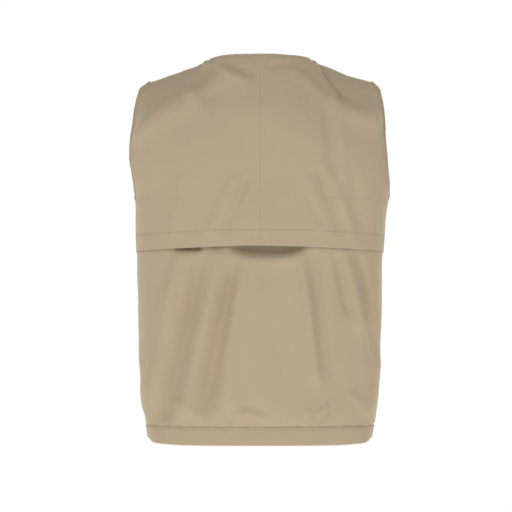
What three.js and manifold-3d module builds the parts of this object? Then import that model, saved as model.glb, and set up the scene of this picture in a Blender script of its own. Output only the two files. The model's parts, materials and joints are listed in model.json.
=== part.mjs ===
// Fishing vest with a loose cape over the back, a zipped V-neck front and four bellows pockets.
//
// Millimetres, +Z up. The wearer faces -Y and the wearer's left is +X. The hem's lower edge is at
// z = 0, and the finished group is centred on X and Y. The vest keeps the shape it has when worn.
//
// Every cloth piece is a slab on one body form. A place on the form is an angle and a height: the
// angle is 0 at the left side seam, 90 degrees at the centre back and -90 degrees at the centre front.

import * as THREE from "three";
import { mergeVertices } from "three/addons/utils/BufferGeometryUtils.js";
import Module from "manifold-3d";

const wasm = await Module();
wasm.setup();

const RAD = Math.PI / 180;

// ---- driving dimensions ----------------------------------------------------------------------

// Body form
const CHEST_Z = 403; // underarm
const CHEST_HALF = 206;
const HEM_HALF = 187;
const BACK_DEPTH = 118;
const HEM_BACK_DEPTH = 108;
const FRONT_DEPTH = 126;
const SECTION_POWER = 2.6; // 2 is an ellipse, more is boxier

// Shoulders and neck
const TIP_HALF = 193;
const TIP_Z = 592;
const NECK_HALF = 95;
const NECK_SIDE_Z = 627;
const NECK_BACK_Z = 641;
const NECK_BACK_Y = 60;
const NECK_ANGLE = 50 * RAD; // where the shoulder seam meets the back neck
const SEAM_Y = 4; // shoulder seam, behind the form's middle
const V_POINT_Z = 470;
const BACK_CURL = 3.2; // how late the back rolls forward to the shoulder seam
const FRONT_CURL = 1.9;

// Armholes
const BACK_SCYE = 14 * RAD; // how far round the armhole cuts into the back
const FRONT_SCYE = 20 * RAD;
const SCYE_POWER = 0.35;
const BACK_FLARE = 12; // the back edge stands out over the arm
const FRONT_FLARE = 3;

// Cloth and seams
const CLOTH = 2;
const SEAM_GAP = 1;
const HEM_HEIGHT = 30;
const HEM_THICK = 3.2;
const BIND_WIDTH = 6.5;
const NECK_BAND = 26; // at the centre back; it narrows to the binding's width at the shoulders
const BIND_THICK = 3;
const FRONT_BIND_OFF = 3.2; // the front binding lies over the cloth's edge
const FRONT_BIND_THICK = 1.4;
const YOKE_OFF = 3.5; // the yoke and cape lie over the mesh and the lower back
const MESH_THICK = 1.2;
const FRONT_SPLIT_Z = 500; // above it the front stays with the shoulders

// Cape
const CAPE_TOP_Z = 430;
const CAPE_EDGE_SIDE_Z = 315;
const CAPE_EDGE_RISE = 13; // the edge is higher at the centre back
const CAPE_STAND = 11; // how far its edge hangs off the lower back

// Zip
const ZIP_OPENING_HALF = 7;
const ZIP_BOTTOM_Z = 14;
const TOOTH_PITCH = 4;
const TOOTH_REACH = 0.7; // tooth tips to the centre line
const SPINE_INNER = 1.9;
const SPINE_OUTER = 3.4;
const TOOTH_THICK = 3;
const TAPE_INNER = 3.7;
const TAPE_OUTER = 20;
const TAPE_THICK = 1;
const TAPE_OFF = -1.3;
const FREE = 0.3; // running clearance and the gap between touching pieces
const SLIDER_LENGTH = 20;
const SLIDER_HALF = 6;
const PLATE = 1.6;
const POST_HALF = 0.35;
const BAIL_HALF = 1.2;
const BAIL_RISE = 2.6;
const PULL_LENGTH = 34;
const PULL_BAR_R = 0.6;
const PULL_THICK = 1.2;
const PULL_HALF = 3.8;

// Pockets, on the left front. Inner and outer are distances from the centre front.
const CHEST = {
  name: "chest",
  inner: 44,
  outer: 148,
  hinge: 408,
  height: 112,
  deep: 14,
  mouth: 8,
  flap: 46,
};
const CARGO = {
  name: "cargo",
  inner: 30,
  outer: 166,
  hinge: 236,
  height: 158,
  deep: 22,
  mouth: 10,
  flap: 58,
};
const POCKET_GAP = 1; // front cloth to gusset, because both are faceted
const MOUTH_DROP = 16; // the pocket's mouth is this far under the flap's hinge
const GUSSET_WALL = 2;
const FACE_THICK = 1.6;
const FLAP_THICK = 1.6;
const FLAP_GAP = 4.2; // room for the snap between face and flap
const FLAP_REACH = 5; // the flap is wider than its pocket on each side
const FLAP_SHOULDER = 13; // drop over which the flap comes out to its gap

// Snaps
const SNAP_CAP_R = 6;
const SNAP_BASE_R = 4.5;
const SNAP_SHANK_R = 2;
const SNAP_NUB_R = 1.8;
const SNAP_RECESS_R = 2.4;
const SNAP_FROM_EDGE = 14;
const SNAP_GAP = 0.6; // snap to cloth, because the cloth is faceted

// Tool tab and ring
const TAB_X = 96;
const TAB_HALF = 9;
const TAB_TOP_Z = 464;
const RING_Z = 447;
const RING_WIRE_R = 1.5;
const RING_R = 14;
const TAB_THICK = 1.6;

// Hanger loop and label
const LOOP_HALF = 22;
const LOOP_DROP = 16;
const LOOP_WIDTH = 5;
const LOOP_THICK = 1.4;
const LABEL_HALF = 24;
const LABEL_HEIGHT = 20;
const LABEL_THICK = 0.8;

// Facets
const ANGLE_STEP = 6 * RAD;
const HEIGHT_STEP = 46;
const PANEL_ROWS = 11;
const YOKE_ROWS = 4;

// ---- body form -------------------------------------------------------------------------------

const mix = (a, b, t) => a + (b - a) * t;
const clamp01 = (t) => Math.min(1, Math.max(0, t));

// The form's horizontal section at the chest or below it.
function sectionPoint(angle, z) {
  const fall = clamp01(1 - z / CHEST_Z);
  const half = CHEST_HALF - (CHEST_HALF - HEM_HALF) * fall;
  const back = BACK_DEPTH - (BACK_DEPTH - HEM_BACK_DEPTH) * fall;
  const depth = angle > 0 ? back : FRONT_DEPTH;
  const across = Math.abs(Math.cos(angle)) / half;
  const along = Math.abs(Math.sin(angle)) / depth;
  const reach = (across ** SECTION_POWER + along ** SECTION_POWER) ** (-1 / SECTION_POWER);
  return new THREE.Vector3(reach * Math.cos(angle), reach * Math.sin(angle), z);
}

// Where the cloth ends at the top: the shoulder seam, or the edge of the back neck.
function topPoint(angle) {
  if (angle > NECK_ANGLE) {
    const turn = ((angle - NECK_ANGLE) / (Math.PI / 2 - NECK_ANGLE)) * (Math.PI / 2);
    const rise = Math.max(0, Math.sin(turn)) ** 0.6;
    return new THREE.Vector3(
      NECK_HALF * Math.cos(turn),
      mix(SEAM_Y, NECK_BACK_Y, Math.sin(turn)),
      mix(NECK_SIDE_Z, NECK_BACK_Z, rise),
    );
  }
  const along = angle > 0 ? angle / NECK_ANGLE : -angle / frontEdgeAngle();
  return new THREE.Vector3(
    mix(TIP_HALF, NECK_HALF, along),
    angle > 0 ? SEAM_Y + SEAM_GAP : SEAM_Y - SEAM_GAP,
    mix(TIP_Z, NECK_SIDE_Z, along),
  );
}

// The angle, from the side seam, of the front's edge beside the zip.
function frontEdgeAngle() {
  return Math.PI / 2 - Math.atan(ZIP_OPENING_HALF / FRONT_DEPTH);
}

// Height is 0 at the chest, 1 at the top edge and -1 at z = 0.
function heightOf(angle, z) {
  return z <= CHEST_Z ? z / CHEST_Z - 1 : (z - CHEST_Z) / (topPoint(angle).z - CHEST_Z);
}

// A point of the form on its left half. Angles past 90 degrees are its right half, mirrored.
function formPoint(angle, height) {
  if (Math.abs(angle) > Math.PI / 2) {
    const mirrored = formPoint(Math.sign(angle) * (Math.PI - Math.abs(angle)), height);
    mirrored.x *= -1;
    return mirrored;
  }
  if (height <= 0) return sectionPoint(angle, CHEST_Z * (1 + height));
  const base = sectionPoint(angle, CHEST_Z);
  const top = topPoint(angle);
  const front = angle < 0;
  const vHeight = (V_POINT_Z - CHEST_Z) / (NECK_SIDE_Z - CHEST_Z);
  const spread = front ? clamp01((height - vHeight) / (1 - vHeight)) : height;
  const roll = spread ** (front ? FRONT_CURL : BACK_CURL);
  const edge = clamp01(1 - Math.abs(angle) / (40 * RAD));
  const flare = (front ? FRONT_FLARE : BACK_FLARE) * edge * Math.sin(Math.PI * clamp01(height));
  return new THREE.Vector3(
    mix(base.x, top.x, spread) + flare,
    mix(base.y, top.y, roll),
    mix(CHEST_Z, top.z, height),
  );
}

// The form's point moved out along its normal.
function offsetPoint(angle, height, off) {
  const step = 0.004;
  const here = formPoint(angle, height);
  const aside = formPoint(angle + step, height).sub(formPoint(angle - step, height));
  const up = formPoint(angle, Math.min(1, height + step)).sub(formPoint(angle, height - step));
  return here.addScaledVector(aside.cross(up).normalize(), off);
}

// The armhole's edge, as an angle from the side seam.
function scyeAngle(height, most) {
  return height <= 0 ? 0 : most * Math.sin(Math.PI * clamp01(height)) ** SCYE_POWER;
}

// The neck band's lower edge, as a share of the height down from the top.
function neckBandShare(angle) {
  const turn = clamp01((angle - NECK_ANGLE) / (Math.PI / 2 - NECK_ANGLE)) * (Math.PI / 2);
  return mix(BIND_WIDTH, NECK_BAND, Math.sin(turn)) / (NECK_BACK_Z - CHEST_Z);
}

const bindAngle = BIND_WIDTH / CHEST_HALF;
const gapAngle = SEAM_GAP / CHEST_HALF;

// ---- solids ----------------------------------------------------------------------------------

function solidOf(geometry) {
  const bare = geometry.index ? geometry.clone() : geometry;
  bare.deleteAttribute("normal");
  bare.deleteAttribute("uv");
  const merged = mergeVertices(bare, 1e-3);
  return new wasm.Manifold(
    new wasm.Mesh({
      numProp: 3,
      vertProperties: merged.attributes.position.array,
      triVerts: new Uint32Array(merged.index.array),
    }),
  );
}

function geometryOf(solid) {
  const mesh = solid.getMesh();
  return new THREE.BufferGeometry()
    .setAttribute("position", new THREE.BufferAttribute(mesh.vertProperties, 3))
    .setIndex(new THREE.BufferAttribute(mesh.triVerts, 1));
}

function cut(geometry, ...tools) {
  return geometryOf(tools.reduce((left, tool) => left.subtract(solidOf(tool)), solidOf(geometry)));
}

function join(...geometries) {
  return geometryOf(geometries.slice(1).reduce((sum, g) => sum.add(solidOf(g)), solidOf(geometries[0])));
}

// Turns a closed geometry's faces out, if a mapping or a mirror has turned them in.
function facingOut(geometry) {
  const position = geometry.attributes.position;
  const index = geometry.index.array;
  const [a, b, c] = [new THREE.Vector3(), new THREE.Vector3(), new THREE.Vector3()];
  let volume = 0;
  for (let i = 0; i < index.length; i += 3) {
    a.fromBufferAttribute(position, index[i]);
    b.fromBufferAttribute(position, index[i + 1]);
    c.fromBufferAttribute(position, index[i + 2]);
    volume += a.dot(b.cross(c));
  }
  if (volume < 0) {
    for (let i = 0; i < index.length; i += 3) {
      [index[i + 1], index[i + 2]] = [index[i + 2], index[i + 1]];
    }
  }
  return geometry;
}

// A box whose unit coordinates (across, up, out) are carried to a curved slab by place().
function slab(columns, rows, place) {
  const geometry = new THREE.BoxGeometry(1, 1, 1, columns, rows, 1).translate(0.5, 0.5, 0.5);
  const position = geometry.attributes.position;
  for (let i = 0; i < position.count; i++) {
    const to = place(position.getX(i), position.getY(i), position.getZ(i));
    position.setXYZ(i, to.x, to.y, to.z);
  }
  return facingOut(geometry);
}

const columnsFor = (angle) => Math.max(1, Math.round(Math.abs(angle) / ANGLE_STEP));
const rowsFor = (length) => Math.max(1, Math.round(length / HEIGHT_STEP));

function mirrorX(geometry) {
  return facingOut(geometry.clone().applyMatrix4(new THREE.Matrix4().makeScale(-1, 1, 1)));
}

function box(x0, x1, y0, y1, z0, z1) {
  const box = new THREE.BoxGeometry(x1 - x0, y1 - y0, z1 - z0);
  return box.translate((x0 + x1) / 2, (y0 + y1) / 2, (z0 + z1) / 2);
}

// ---- materials -------------------------------------------------------------------------------

const cloth = (color) => new THREE.MeshStandardMaterial({ color, roughness: 0.85, metalness: 0 });
const shell = cloth(0xb5a488);
const trim = cloth(0xa89679);
const mesh = cloth(0xc4b79c);
const tape = cloth(0xa39072);
const brass = new THREE.MeshStandardMaterial({ color: 0x8d7a55, roughness: 0.38, metalness: 0.9 });

const vest = new THREE.Group();

function add(name, material, geometry) {
  const piece = new THREE.Mesh(geometry, material);
  piece.name = name;
  vest.add(piece);
}

// A left piece and its mirrored right twin.
function addPair(name, material, geometry) {
  add(`${name}_left`, material, geometry);
  add(`${name}_right`, material, mirrorX(geometry));
}

// ---- back ------------------------------------------------------------------------------------

const capeHeight = heightOf(0, CAPE_TOP_Z);
const capeSide = scyeAngle(capeHeight, BACK_SCYE);

// Cloth from the left armhole round to an angle, above the cape's hinge line.
function upperBack(last, offIn, thick, inset, lowest) {
  const columns = columnsFor(last(capeSide) - capeSide);
  return slab(columns, rowsFor(NECK_BACK_Z - CAPE_TOP_Z) * 2, (across, up, out) => {
    const round = mix(capeSide, last(capeSide), across);
    const side = Math.min(round, Math.PI - round);
    const shoulder = side < NECK_ANGLE - 1.2 * ANGLE_STEP;
    const height = mix(heightOf(side, lowest), 1 - (shoulder ? 0 : neckBandShare(side)) - inset, up);
    const edge = scyeAngle(height, BACK_SCYE) + bindAngle + gapAngle + inset;
    return offsetPoint(mix(edge, last(edge), across), height, offIn + thick * out);
  });
}

// The height of the cape's lower edge.
function capeEdgeZ(angle) {
  return CAPE_EDGE_SIDE_Z + CAPE_EDGE_RISE * Math.sin(Math.min(angle, Math.PI / 2));
}

function capeHalf() {
  const columns = columnsFor(Math.PI / 2 - capeSide);
  return slab(columns, rowsFor(CAPE_TOP_Z - CAPE_EDGE_SIDE_Z) + 1, (across, up, out) => {
    const angle = mix(capeSide + bindAngle, Math.PI / 2 - gapAngle / 2, across);
    const z = mix(capeEdgeZ(angle), CAPE_TOP_Z - SEAM_GAP, up);
    const stand = CAPE_STAND * Math.sin(angle) * (1 - up) ** 1.3;
    return offsetPoint(angle, heightOf(angle, z), YOKE_OFF + stand + CLOTH * out);
  });
}

// The lower back's top is the armhole near the sides, and the mesh's lower edge between them.
function lowerBackTop(angle) {
  const side = Math.min(angle, Math.PI - angle);
  if (side >= capeSide) return capeHeight;
  return Math.asin((side / BACK_SCYE) ** (1 / SCYE_POWER)) / Math.PI;
}

function lowerBack() {
  const rows = rowsFor(CAPE_TOP_Z - HEM_HEIGHT);
  return slab(columnsFor(Math.PI), rows, (across, up, out) => {
    const angle = mix(gapAngle, Math.PI - gapAngle, across);
    const side = Math.min(angle, Math.PI - angle);
    const top = side < capeSide ? lowerBackTop(angle) - 0.01 : heightOf(side, CAPE_TOP_Z);
    const bottom = heightOf(angle, HEM_HEIGHT + SEAM_GAP);
    const knee = up * rows;
    const height = knee > rows - 1 ? mix(0, top, knee - rows + 1) : mix(bottom, 0, knee / (rows - 1));
    return offsetPoint(angle, height, CLOTH * out);
  });
}

function hemBand(from, to) {
  return slab(columnsFor(to - from), 1, (across, up, out) => {
    const angle = mix(from, to, across);
    return offsetPoint(angle, heightOf(angle, HEM_HEIGHT * up), HEM_THICK * out).setZ(HEM_HEIGHT * up);
  });
}

function backArmholeBinding() {
  return slab(1, rowsFor(TIP_Z - CHEST_Z) * 2, (across, up, out) => {
    const height = mix(capeHeight, 1, up);
    const edge = scyeAngle(height, BACK_SCYE) + bindAngle * across;
    return offsetPoint(edge, height, YOKE_OFF + BIND_THICK * out);
  });
}

function neckBand() {
  const round = Math.PI - 2 * NECK_ANGLE;
  const gap = SEAM_GAP / (NECK_BACK_Z - CHEST_Z);
  return slab(columnsFor(round) * 2, 2, (across, up, out) => {
    const angle = NECK_ANGLE + round * across;
    const share = neckBandShare(Math.min(angle, Math.PI - angle));
    return offsetPoint(angle, mix(1 - share + 1.5 * gap, 1, up), YOKE_OFF + BIND_THICK * out);
  });
}

const toCentre = () => Math.PI / 2 - gapAngle / 2;
const toOtherSide = (edge) => Math.PI - edge;
addPair("back_yoke", shell, upperBack(toCentre, YOKE_OFF, CLOTH, 0, CAPE_TOP_Z + SEAM_GAP));
addPair("cape", shell, capeHalf());
add("back_lower", shell, lowerBack());
add("hem_band_back", shell, hemBand(gapAngle, Math.PI - gapAngle));
addPair("armhole_binding", trim, backArmholeBinding());
add("neck_band", trim, neckBand());

add("back_mesh", mesh, upperBack(toOtherSide, 0, MESH_THICK, 0.02, CAPE_TOP_Z + 2 * SEAM_GAP));

// ---- front -----------------------------------------------------------------------------------

const frontEdge = frontEdgeAngle();
const facingAngle = 4 * RAD;

// Cloth of the left front over a run of heights, from the armhole or side seam to the front edge.
function frontCloth(rows, neckInset, heightAt) {
  return slab(columnsFor(frontEdge), rows, (across, up, out) => {
    const height = heightAt(-mix(0, frontEdge, across), up);
    const side = scyeAngle(height, FRONT_SCYE) + gapAngle;
    const angle = -mix(side, frontEdge - neckInset, across);
    return offsetPoint(angle, height, CLOTH * out);
  });
}

// Heights of the panel: even rows up to the V's point, then one more row.
function panelHeight(angle, up) {
  const knee = up * PANEL_ROWS;
  const vRow = PANEL_ROWS - 1;
  const z =
    knee > vRow
      ? mix(V_POINT_Z, FRONT_SPLIT_Z - SEAM_GAP, knee - vRow)
      : mix(HEM_HEIGHT + SEAM_GAP, V_POINT_Z, knee / vRow);
  return heightOf(angle, z);
}

function yokeHeight(angle, up) {
  return mix(heightOf(angle, FRONT_SPLIT_Z + SEAM_GAP), 1, up);
}

addPair("front_yoke", shell, frontCloth(YOKE_ROWS, facingAngle, yokeHeight));
addPair("front_panel", shell, frontCloth(PANEL_ROWS, 0, panelHeight));
addPair("hem_band", shell, hemBand(-gapAngle, -frontEdge));

function necklineFacing() {
  return slab(1, 4, (across, up, out) => {
    const height = mix(heightOf(-frontEdge, FRONT_SPLIT_Z + SEAM_GAP), 1, up);
    const angle = -frontEdge + (facingAngle - gapAngle) * across;
    return offsetPoint(angle, height, BIND_THICK * out);
  });
}

function frontArmholeBinding() {
  return slab(1, 4, (across, up, out) => {
    const height = mix(0.02, heightOf(-FRONT_SCYE, FRONT_SPLIT_Z - SEAM_GAP), up);
    const edge = scyeAngle(height, FRONT_SCYE) + bindAngle * across;
    return offsetPoint(-edge, height, FRONT_BIND_OFF + FRONT_BIND_THICK * out);
  });
}

addPair("neckline_facing", trim, necklineFacing());
addPair("front_armhole_binding", trim, frontArmholeBinding());

// ---- zip -------------------------------------------------------------------------------------

// Distances in front of the centre front: the zip lies in a flat strip there.
const zipFront = (off) => -(FRONT_DEPTH + off);
const zipBox = (x0, x1, off0, off1, z0, z1) => box(x0, x1, zipFront(off1), zipFront(off0), z0, z1);
const toothMiddle = TAPE_OFF + TAPE_THICK / 2;
const toothBack = toothMiddle - TOOTH_THICK / 2;
const toothFront = toothMiddle + TOOTH_THICK / 2;
const sliderBottomZ = V_POINT_Z - 2;

// A spine with a comb of teeth towards the centre.
function teethRow(bottom, top) {
  const outline = new THREE.Shape().moveTo(SPINE_OUTER, bottom);
  outline.lineTo(SPINE_OUTER, top).lineTo(SPINE_INNER, top);
  const count = Math.floor((top - bottom) / TOOTH_PITCH);
  for (let i = count - 1; i >= 0; i--) {
    const low = bottom + (i + 0.25) * TOOTH_PITCH;
    const high = low + TOOTH_PITCH / 2;
    outline.lineTo(SPINE_INNER, high).lineTo(TOOTH_REACH, high);
    outline.lineTo(TOOTH_REACH, low).lineTo(SPINE_INNER, low);
  }
  outline.lineTo(SPINE_INNER, bottom).closePath();
  const row = new THREE.ExtrudeGeometry(outline, { depth: TOOTH_THICK, bevelEnabled: false });
  return row.rotateX(Math.PI / 2).translate(0, zipFront(toothBack), 0);
}

const rowBottom = ZIP_BOTTOM_Z + 2;
const rowTop = sliderBottomZ - FREE;
add("zip_teeth_left", brass, teethRow(rowBottom, rowTop));
add("zip_teeth_right", brass, mirrorX(weld(teethRow(rowBottom, rowTop))));

function weld(geometry) {
  return geometryOf(solidOf(geometry));
}

addPair("zip_tape", tape, zipBox(TAPE_INNER, TAPE_OUTER, TAPE_OFF, TAPE_OFF + TAPE_THICK, 2, rowTop));

// The end stops sit on the tapes' edges, under the slider's lowest place.
const stopTop = rowBottom - FREE;
add("zip_box", brass, zipBox(0.2, SPINE_OUTER, toothBack, toothFront, 2, stopTop));
add("zip_pin", brass, zipBox(-SPINE_OUTER, -0.2, toothBack, toothFront, 2, stopTop));

// Two plates joined by a post between the rows, with flanges that leave a slot for each tape.
function slider() {
  const bottom = sliderBottomZ;
  const top = bottom + SLIDER_LENGTH;
  const frontOff = toothFront + 2 * FREE;
  const backOff = toothBack - FREE;
  const tapeFront = TAPE_OFF + TAPE_THICK + FREE;
  const tapeBack = TAPE_OFF - FREE;
  const rib = 1;
  const pieces = [
    zipBox(-SLIDER_HALF, SLIDER_HALF, frontOff, frontOff + PLATE, bottom, top),
    zipBox(-SLIDER_HALF, SLIDER_HALF, backOff - PLATE, backOff, bottom, top),
    zipBox(-POST_HALF, POST_HALF, backOff - PLATE / 2, frontOff + PLATE / 2, top - 9, top - 2),
  ];
  for (const side of [-1, 1]) {
    const x = [side * SLIDER_HALF, side * (SLIDER_HALF - rib)].sort((a, b) => a - b);
    pieces.push(zipBox(...x, tapeFront, frontOff + PLATE / 2, bottom, top - 6));
    pieces.push(zipBox(...x, backOff - PLATE / 2, tapeBack, bottom, top - 6));
  }
  const bailOff = frontOff + PLATE;
  const bailTop = bailOff + BAIL_RISE + 1.2;
  const bail = zipBox(-BAIL_HALF, BAIL_HALF, bailOff - PLATE / 2, bailTop, bottom + 5, top - 3);
  const eye = zipBox(-2 * BAIL_HALF, 2 * BAIL_HALF, bailOff, bailOff + BAIL_RISE, bottom + 7, top - 5);
  return join(...pieces, cut(bail, eye));
}

const pullAxisZ = sliderBottomZ + 9;
const pullAxisOff = toothFront + 2 * FREE + PLATE + FREE + PULL_BAR_R + 0.3;

// A crossbar under the bail, two arms and a rounded tab.
function pull() {
  const low = pullAxisOff - PULL_THICK / 2;
  const high = low + PULL_THICK;
  const arms = zipBox(-PULL_HALF, PULL_HALF, low, high, pullAxisZ - PULL_LENGTH, pullAxisZ + 0.6);
  const eyeHalf = PULL_HALF - 1.4;
  const window = zipBox(-eyeHalf, eyeHalf, low - 1, high + 1, pullAxisZ - 12, pullAxisZ - 0.6);
  return cut(arms, window);
}

add("zip_slider", brass, slider());
add("zip_pull", brass, pull());

// ---- pockets ---------------------------------------------------------------------------------

// The angle of a place on the front that is x from the centre, at the height of a pocket's middle.
function angleAt(x, z) {
  let [near, far] = [0, Math.PI / 2];
  for (let i = 0; i < 40; i++) {
    const middle = (near + far) / 2;
    if (sectionPoint(-middle, z).x > x) near = middle;
    else far = middle;
  }
  return -near;
}

// Drops of the flap's rows below its hinge.
const FLAP_ROW_DROPS = [() => 0, () => FLAP_SHOULDER / 2, () => FLAP_SHOULDER, (pocket) => pocket.flap];

// How far the pocket's face stands off the form at height z.
function faceOff(pocket, z) {
  const mouthZ = pocket.hinge - MOUTH_DROP;
  return mix(pocket.mouth, pocket.deep, clamp01((mouthZ - z) / pocket.height));
}

function flapOff(pocket, z) {
  const out = clamp01((pocket.hinge - z) / FLAP_SHOULDER);
  const full = faceOff(pocket, z) + FACE_THICK + FLAP_GAP;
  return mix(CLOTH + POCKET_GAP, full, Math.sin((out * Math.PI) / 2));
}

function pocketSlab(pocket, x0, x1, zAt, rows, off0, off1) {
  const middle = pocket.hinge - pocket.height / 2;
  const [from, to] = [angleAt(x0, middle), angleAt(x1, middle)];
  const columns = Math.max(4, columnsFor(to - from));
  return slab(columns, rows, (across, up, out) => {
    const angle = mix(from, to, across);
    const z = zAt(up);
    return offsetPoint(angle, heightOf(angle, z), mix(off0(z), off1(z), out));
  });
}

// A hole along the front's normal at a snap.
function snapHole(seat, radius) {
  const hole = new THREE.CylinderGeometry(radius, radius, 16, 12);
  return seated(hole, seat);
}

// Moves a shape made along +Y, out of the cloth, to its seat on the front.
function seated(geometry, seat) {
  const turn = new THREE.Quaternion().setFromUnitVectors(new THREE.Vector3(0, 1, 0), seat.out);
  return geometry.applyQuaternion(turn).translate(seat.at.x, seat.at.y, seat.at.z);
}

// A seat is a point on the pocket's face and the direction out of it.
function snapSeat(pocket) {
  const x = (pocket.inner + pocket.outer) / 2;
  const z = pocket.hinge - pocket.flap + SNAP_FROM_EDGE;
  const angle = angleAt(x, z);
  const onFace = (turn, rise) =>
    offsetPoint(angle + turn, heightOf(angle, z + rise), faceOff(pocket, z + rise) + FACE_THICK);
  const across = onFace(ANGLE_STEP / 2, 0).sub(onFace(-ANGLE_STEP / 2, 0));
  const up = onFace(0, SNAP_BASE_R).sub(onFace(0, -SNAP_BASE_R));
  return { at: onFace(0, 0), out: across.cross(up).normalize() };
}

function lathe(profile) {
  return new THREE.LatheGeometry(profile.map(([r, y]) => new THREE.Vector2(r, y)), 16);
}

// Rivet, base and nub of a snap's male half, on the pocket's face. y = 0 is the face.
const studProfile = [
  [0, -FACE_THICK - SNAP_GAP - 0.8],
  [SNAP_BASE_R, -FACE_THICK - SNAP_GAP - 0.8],
  [SNAP_BASE_R, -FACE_THICK - SNAP_GAP],
  [SNAP_SHANK_R, -FACE_THICK - SNAP_GAP],
  [SNAP_SHANK_R, SNAP_GAP],
  [SNAP_BASE_R, SNAP_GAP],
  [SNAP_BASE_R, SNAP_GAP + 0.6],
  [SNAP_NUB_R, SNAP_GAP + 0.6],
  [SNAP_NUB_R, SNAP_GAP + 1.8],
  [0, SNAP_GAP + 1.9],
];

// Socket, shank and cap of its female half, on the flap. y = 0 is the flap's inner face.
const capProfile = [
  [0, -1],
  [SNAP_RECESS_R, -1],
  [SNAP_RECESS_R, -2.4],
  [SNAP_BASE_R, -2.4],
  [SNAP_BASE_R, -SNAP_GAP],
  [SNAP_SHANK_R, -SNAP_GAP],
  [SNAP_SHANK_R, FLAP_THICK + SNAP_GAP],
  [SNAP_CAP_R, FLAP_THICK + SNAP_GAP],
  [SNAP_CAP_R - 0.6, FLAP_THICK + SNAP_GAP + 0.9],
  [SNAP_CAP_R / 2, FLAP_THICK + SNAP_GAP + 1.4],
  [0, FLAP_THICK + SNAP_GAP + 1.5],
];

function addPocket(pocket) {
  const mouthZ = pocket.hinge - MOUTH_DROP;
  const floorZ = mouthZ - pocket.height;
  const { inner, outer } = pocket;
  const offFace = (z) => faceOff(pocket, z);
  const offPanel = () => CLOTH + POCKET_GAP;
  const seat = snapSeat(pocket);
  const hole = SNAP_SHANK_R + FREE;

  const rows = rowsFor(pocket.height);
  const faceZ = (up) => mix(floorZ, mouthZ, up);
  const face = pocketSlab(pocket, inner, outer, faceZ, rows, offFace, (z) => offFace(z) + FACE_THICK);
  addPair(`${pocket.name}_pocket_face`, shell, cut(face, snapHole(seat, hole)));

  const block = pocketSlab(pocket, inner, outer, faceZ, rows, offPanel, (z) => offFace(z) - FREE);
  const roomZ = (up) => mix(floorZ + GUSSET_WALL, mouthZ + 5, up);
  const [roomIn, roomOut] = [inner + GUSSET_WALL, outer - GUSSET_WALL];
  const room = pocketSlab(pocket, roomIn, roomOut, roomZ, rows, () => 0, (z) => offFace(z) + 4);
  addPair(`${pocket.name}_pocket_gusset`, shell, cut(block, room));

  const flapZ = (up) => pocket.hinge - FLAP_ROW_DROPS[Math.round((1 - up) * 3)](pocket);
  const [flapIn, flapOut] = [inner - FLAP_REACH, outer + FLAP_REACH];
  const flapOuter = (z) => flapOff(pocket, z) + FLAP_THICK;
  const flap = pocketSlab(pocket, flapIn, flapOut, flapZ, 3, (z) => flapOff(pocket, z), flapOuter);
  addPair(`${pocket.name}_flap`, shell, cut(flap, snapHole(seat, hole)));

  addPair(`${pocket.name}_snap_stud`, brass, seated(weld(lathe(studProfile)), seat));
  const capSeat = { at: seat.at.clone().addScaledVector(seat.out, FLAP_GAP), out: seat.out };
  addPair(`${pocket.name}_snap_cap`, brass, seated(weld(lathe(capProfile)), capSeat));
}

addPocket(CHEST);
addPocket(CARGO);

// ---- tool tab, hanger loop and label ---------------------------------------------------------

const tabAngle = angleAt(TAB_X, CHEST_Z);
const tabRoot = offsetPoint(tabAngle, heightOf(tabAngle, RING_Z), CLOTH);
const tabFoot = offsetPoint(tabAngle, heightOf(tabAngle, RING_Z), 0);
const tabOut = tabRoot.clone().sub(tabFoot).setZ(0).normalize();
const tabTurn = Math.atan2(tabOut.x, -tabOut.y);
const eyeR = RING_WIRE_R + 2 * FREE;
const eyeOff = eyeR + TAB_THICK + 1.4;

// A strap sewn flat at its top, with a tube at its foot for the ring. Local -Y is out of the cloth.
function toolTab() {
  const outer = eyeR + TAB_THICK;
  const inside = -eyeOff + outer;
  const rise = TAB_TOP_Z - RING_Z;
  const side = new THREE.Shape()
    .moveTo(inside, rise)
    .lineTo(inside - TAB_THICK, rise)
    .lineTo(inside - TAB_THICK, outer)
    .absarc(-eyeOff, 0, outer, Math.PI / 2, Math.PI * 2, false)
    .closePath();
  side.holes.push(new THREE.Path().absarc(-eyeOff, 0, eyeR, 0, Math.PI * 2, true));
  const settings = { depth: 2 * TAB_HALF, bevelEnabled: false, curveSegments: 10 };
  const strap = new THREE.ExtrudeGeometry(side, settings);
  return strap.translate(0, 0, -TAB_HALF).rotateY(Math.PI / 2).rotateX(Math.PI / 2);
}

// A D of round wire: its straight bar runs through the tab.
function toolRing() {
  const bow = new THREE.TorusGeometry(RING_R, RING_WIRE_R, 8, 24);
  const above = box(-2 * RING_R, 2 * RING_R, 0, 2 * RING_R, -RING_R, RING_R);
  const barLength = 2 * (RING_R + RING_WIRE_R);
  const bar = new THREE.CylinderGeometry(RING_WIRE_R, RING_WIRE_R, barLength, 8).rotateZ(Math.PI / 2);
  return join(cut(bow, above), bar).rotateX(Math.PI / 2).translate(0, -eyeOff, 0);
}

function onChest(geometry) {
  return geometry.rotateZ(tabTurn).translate(tabRoot.x, tabRoot.y, RING_Z);
}

add("tool_tab", trim, onChest(weld(toolTab())));
add("tool_ring", brass, onChest(toolRing()));

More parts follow.
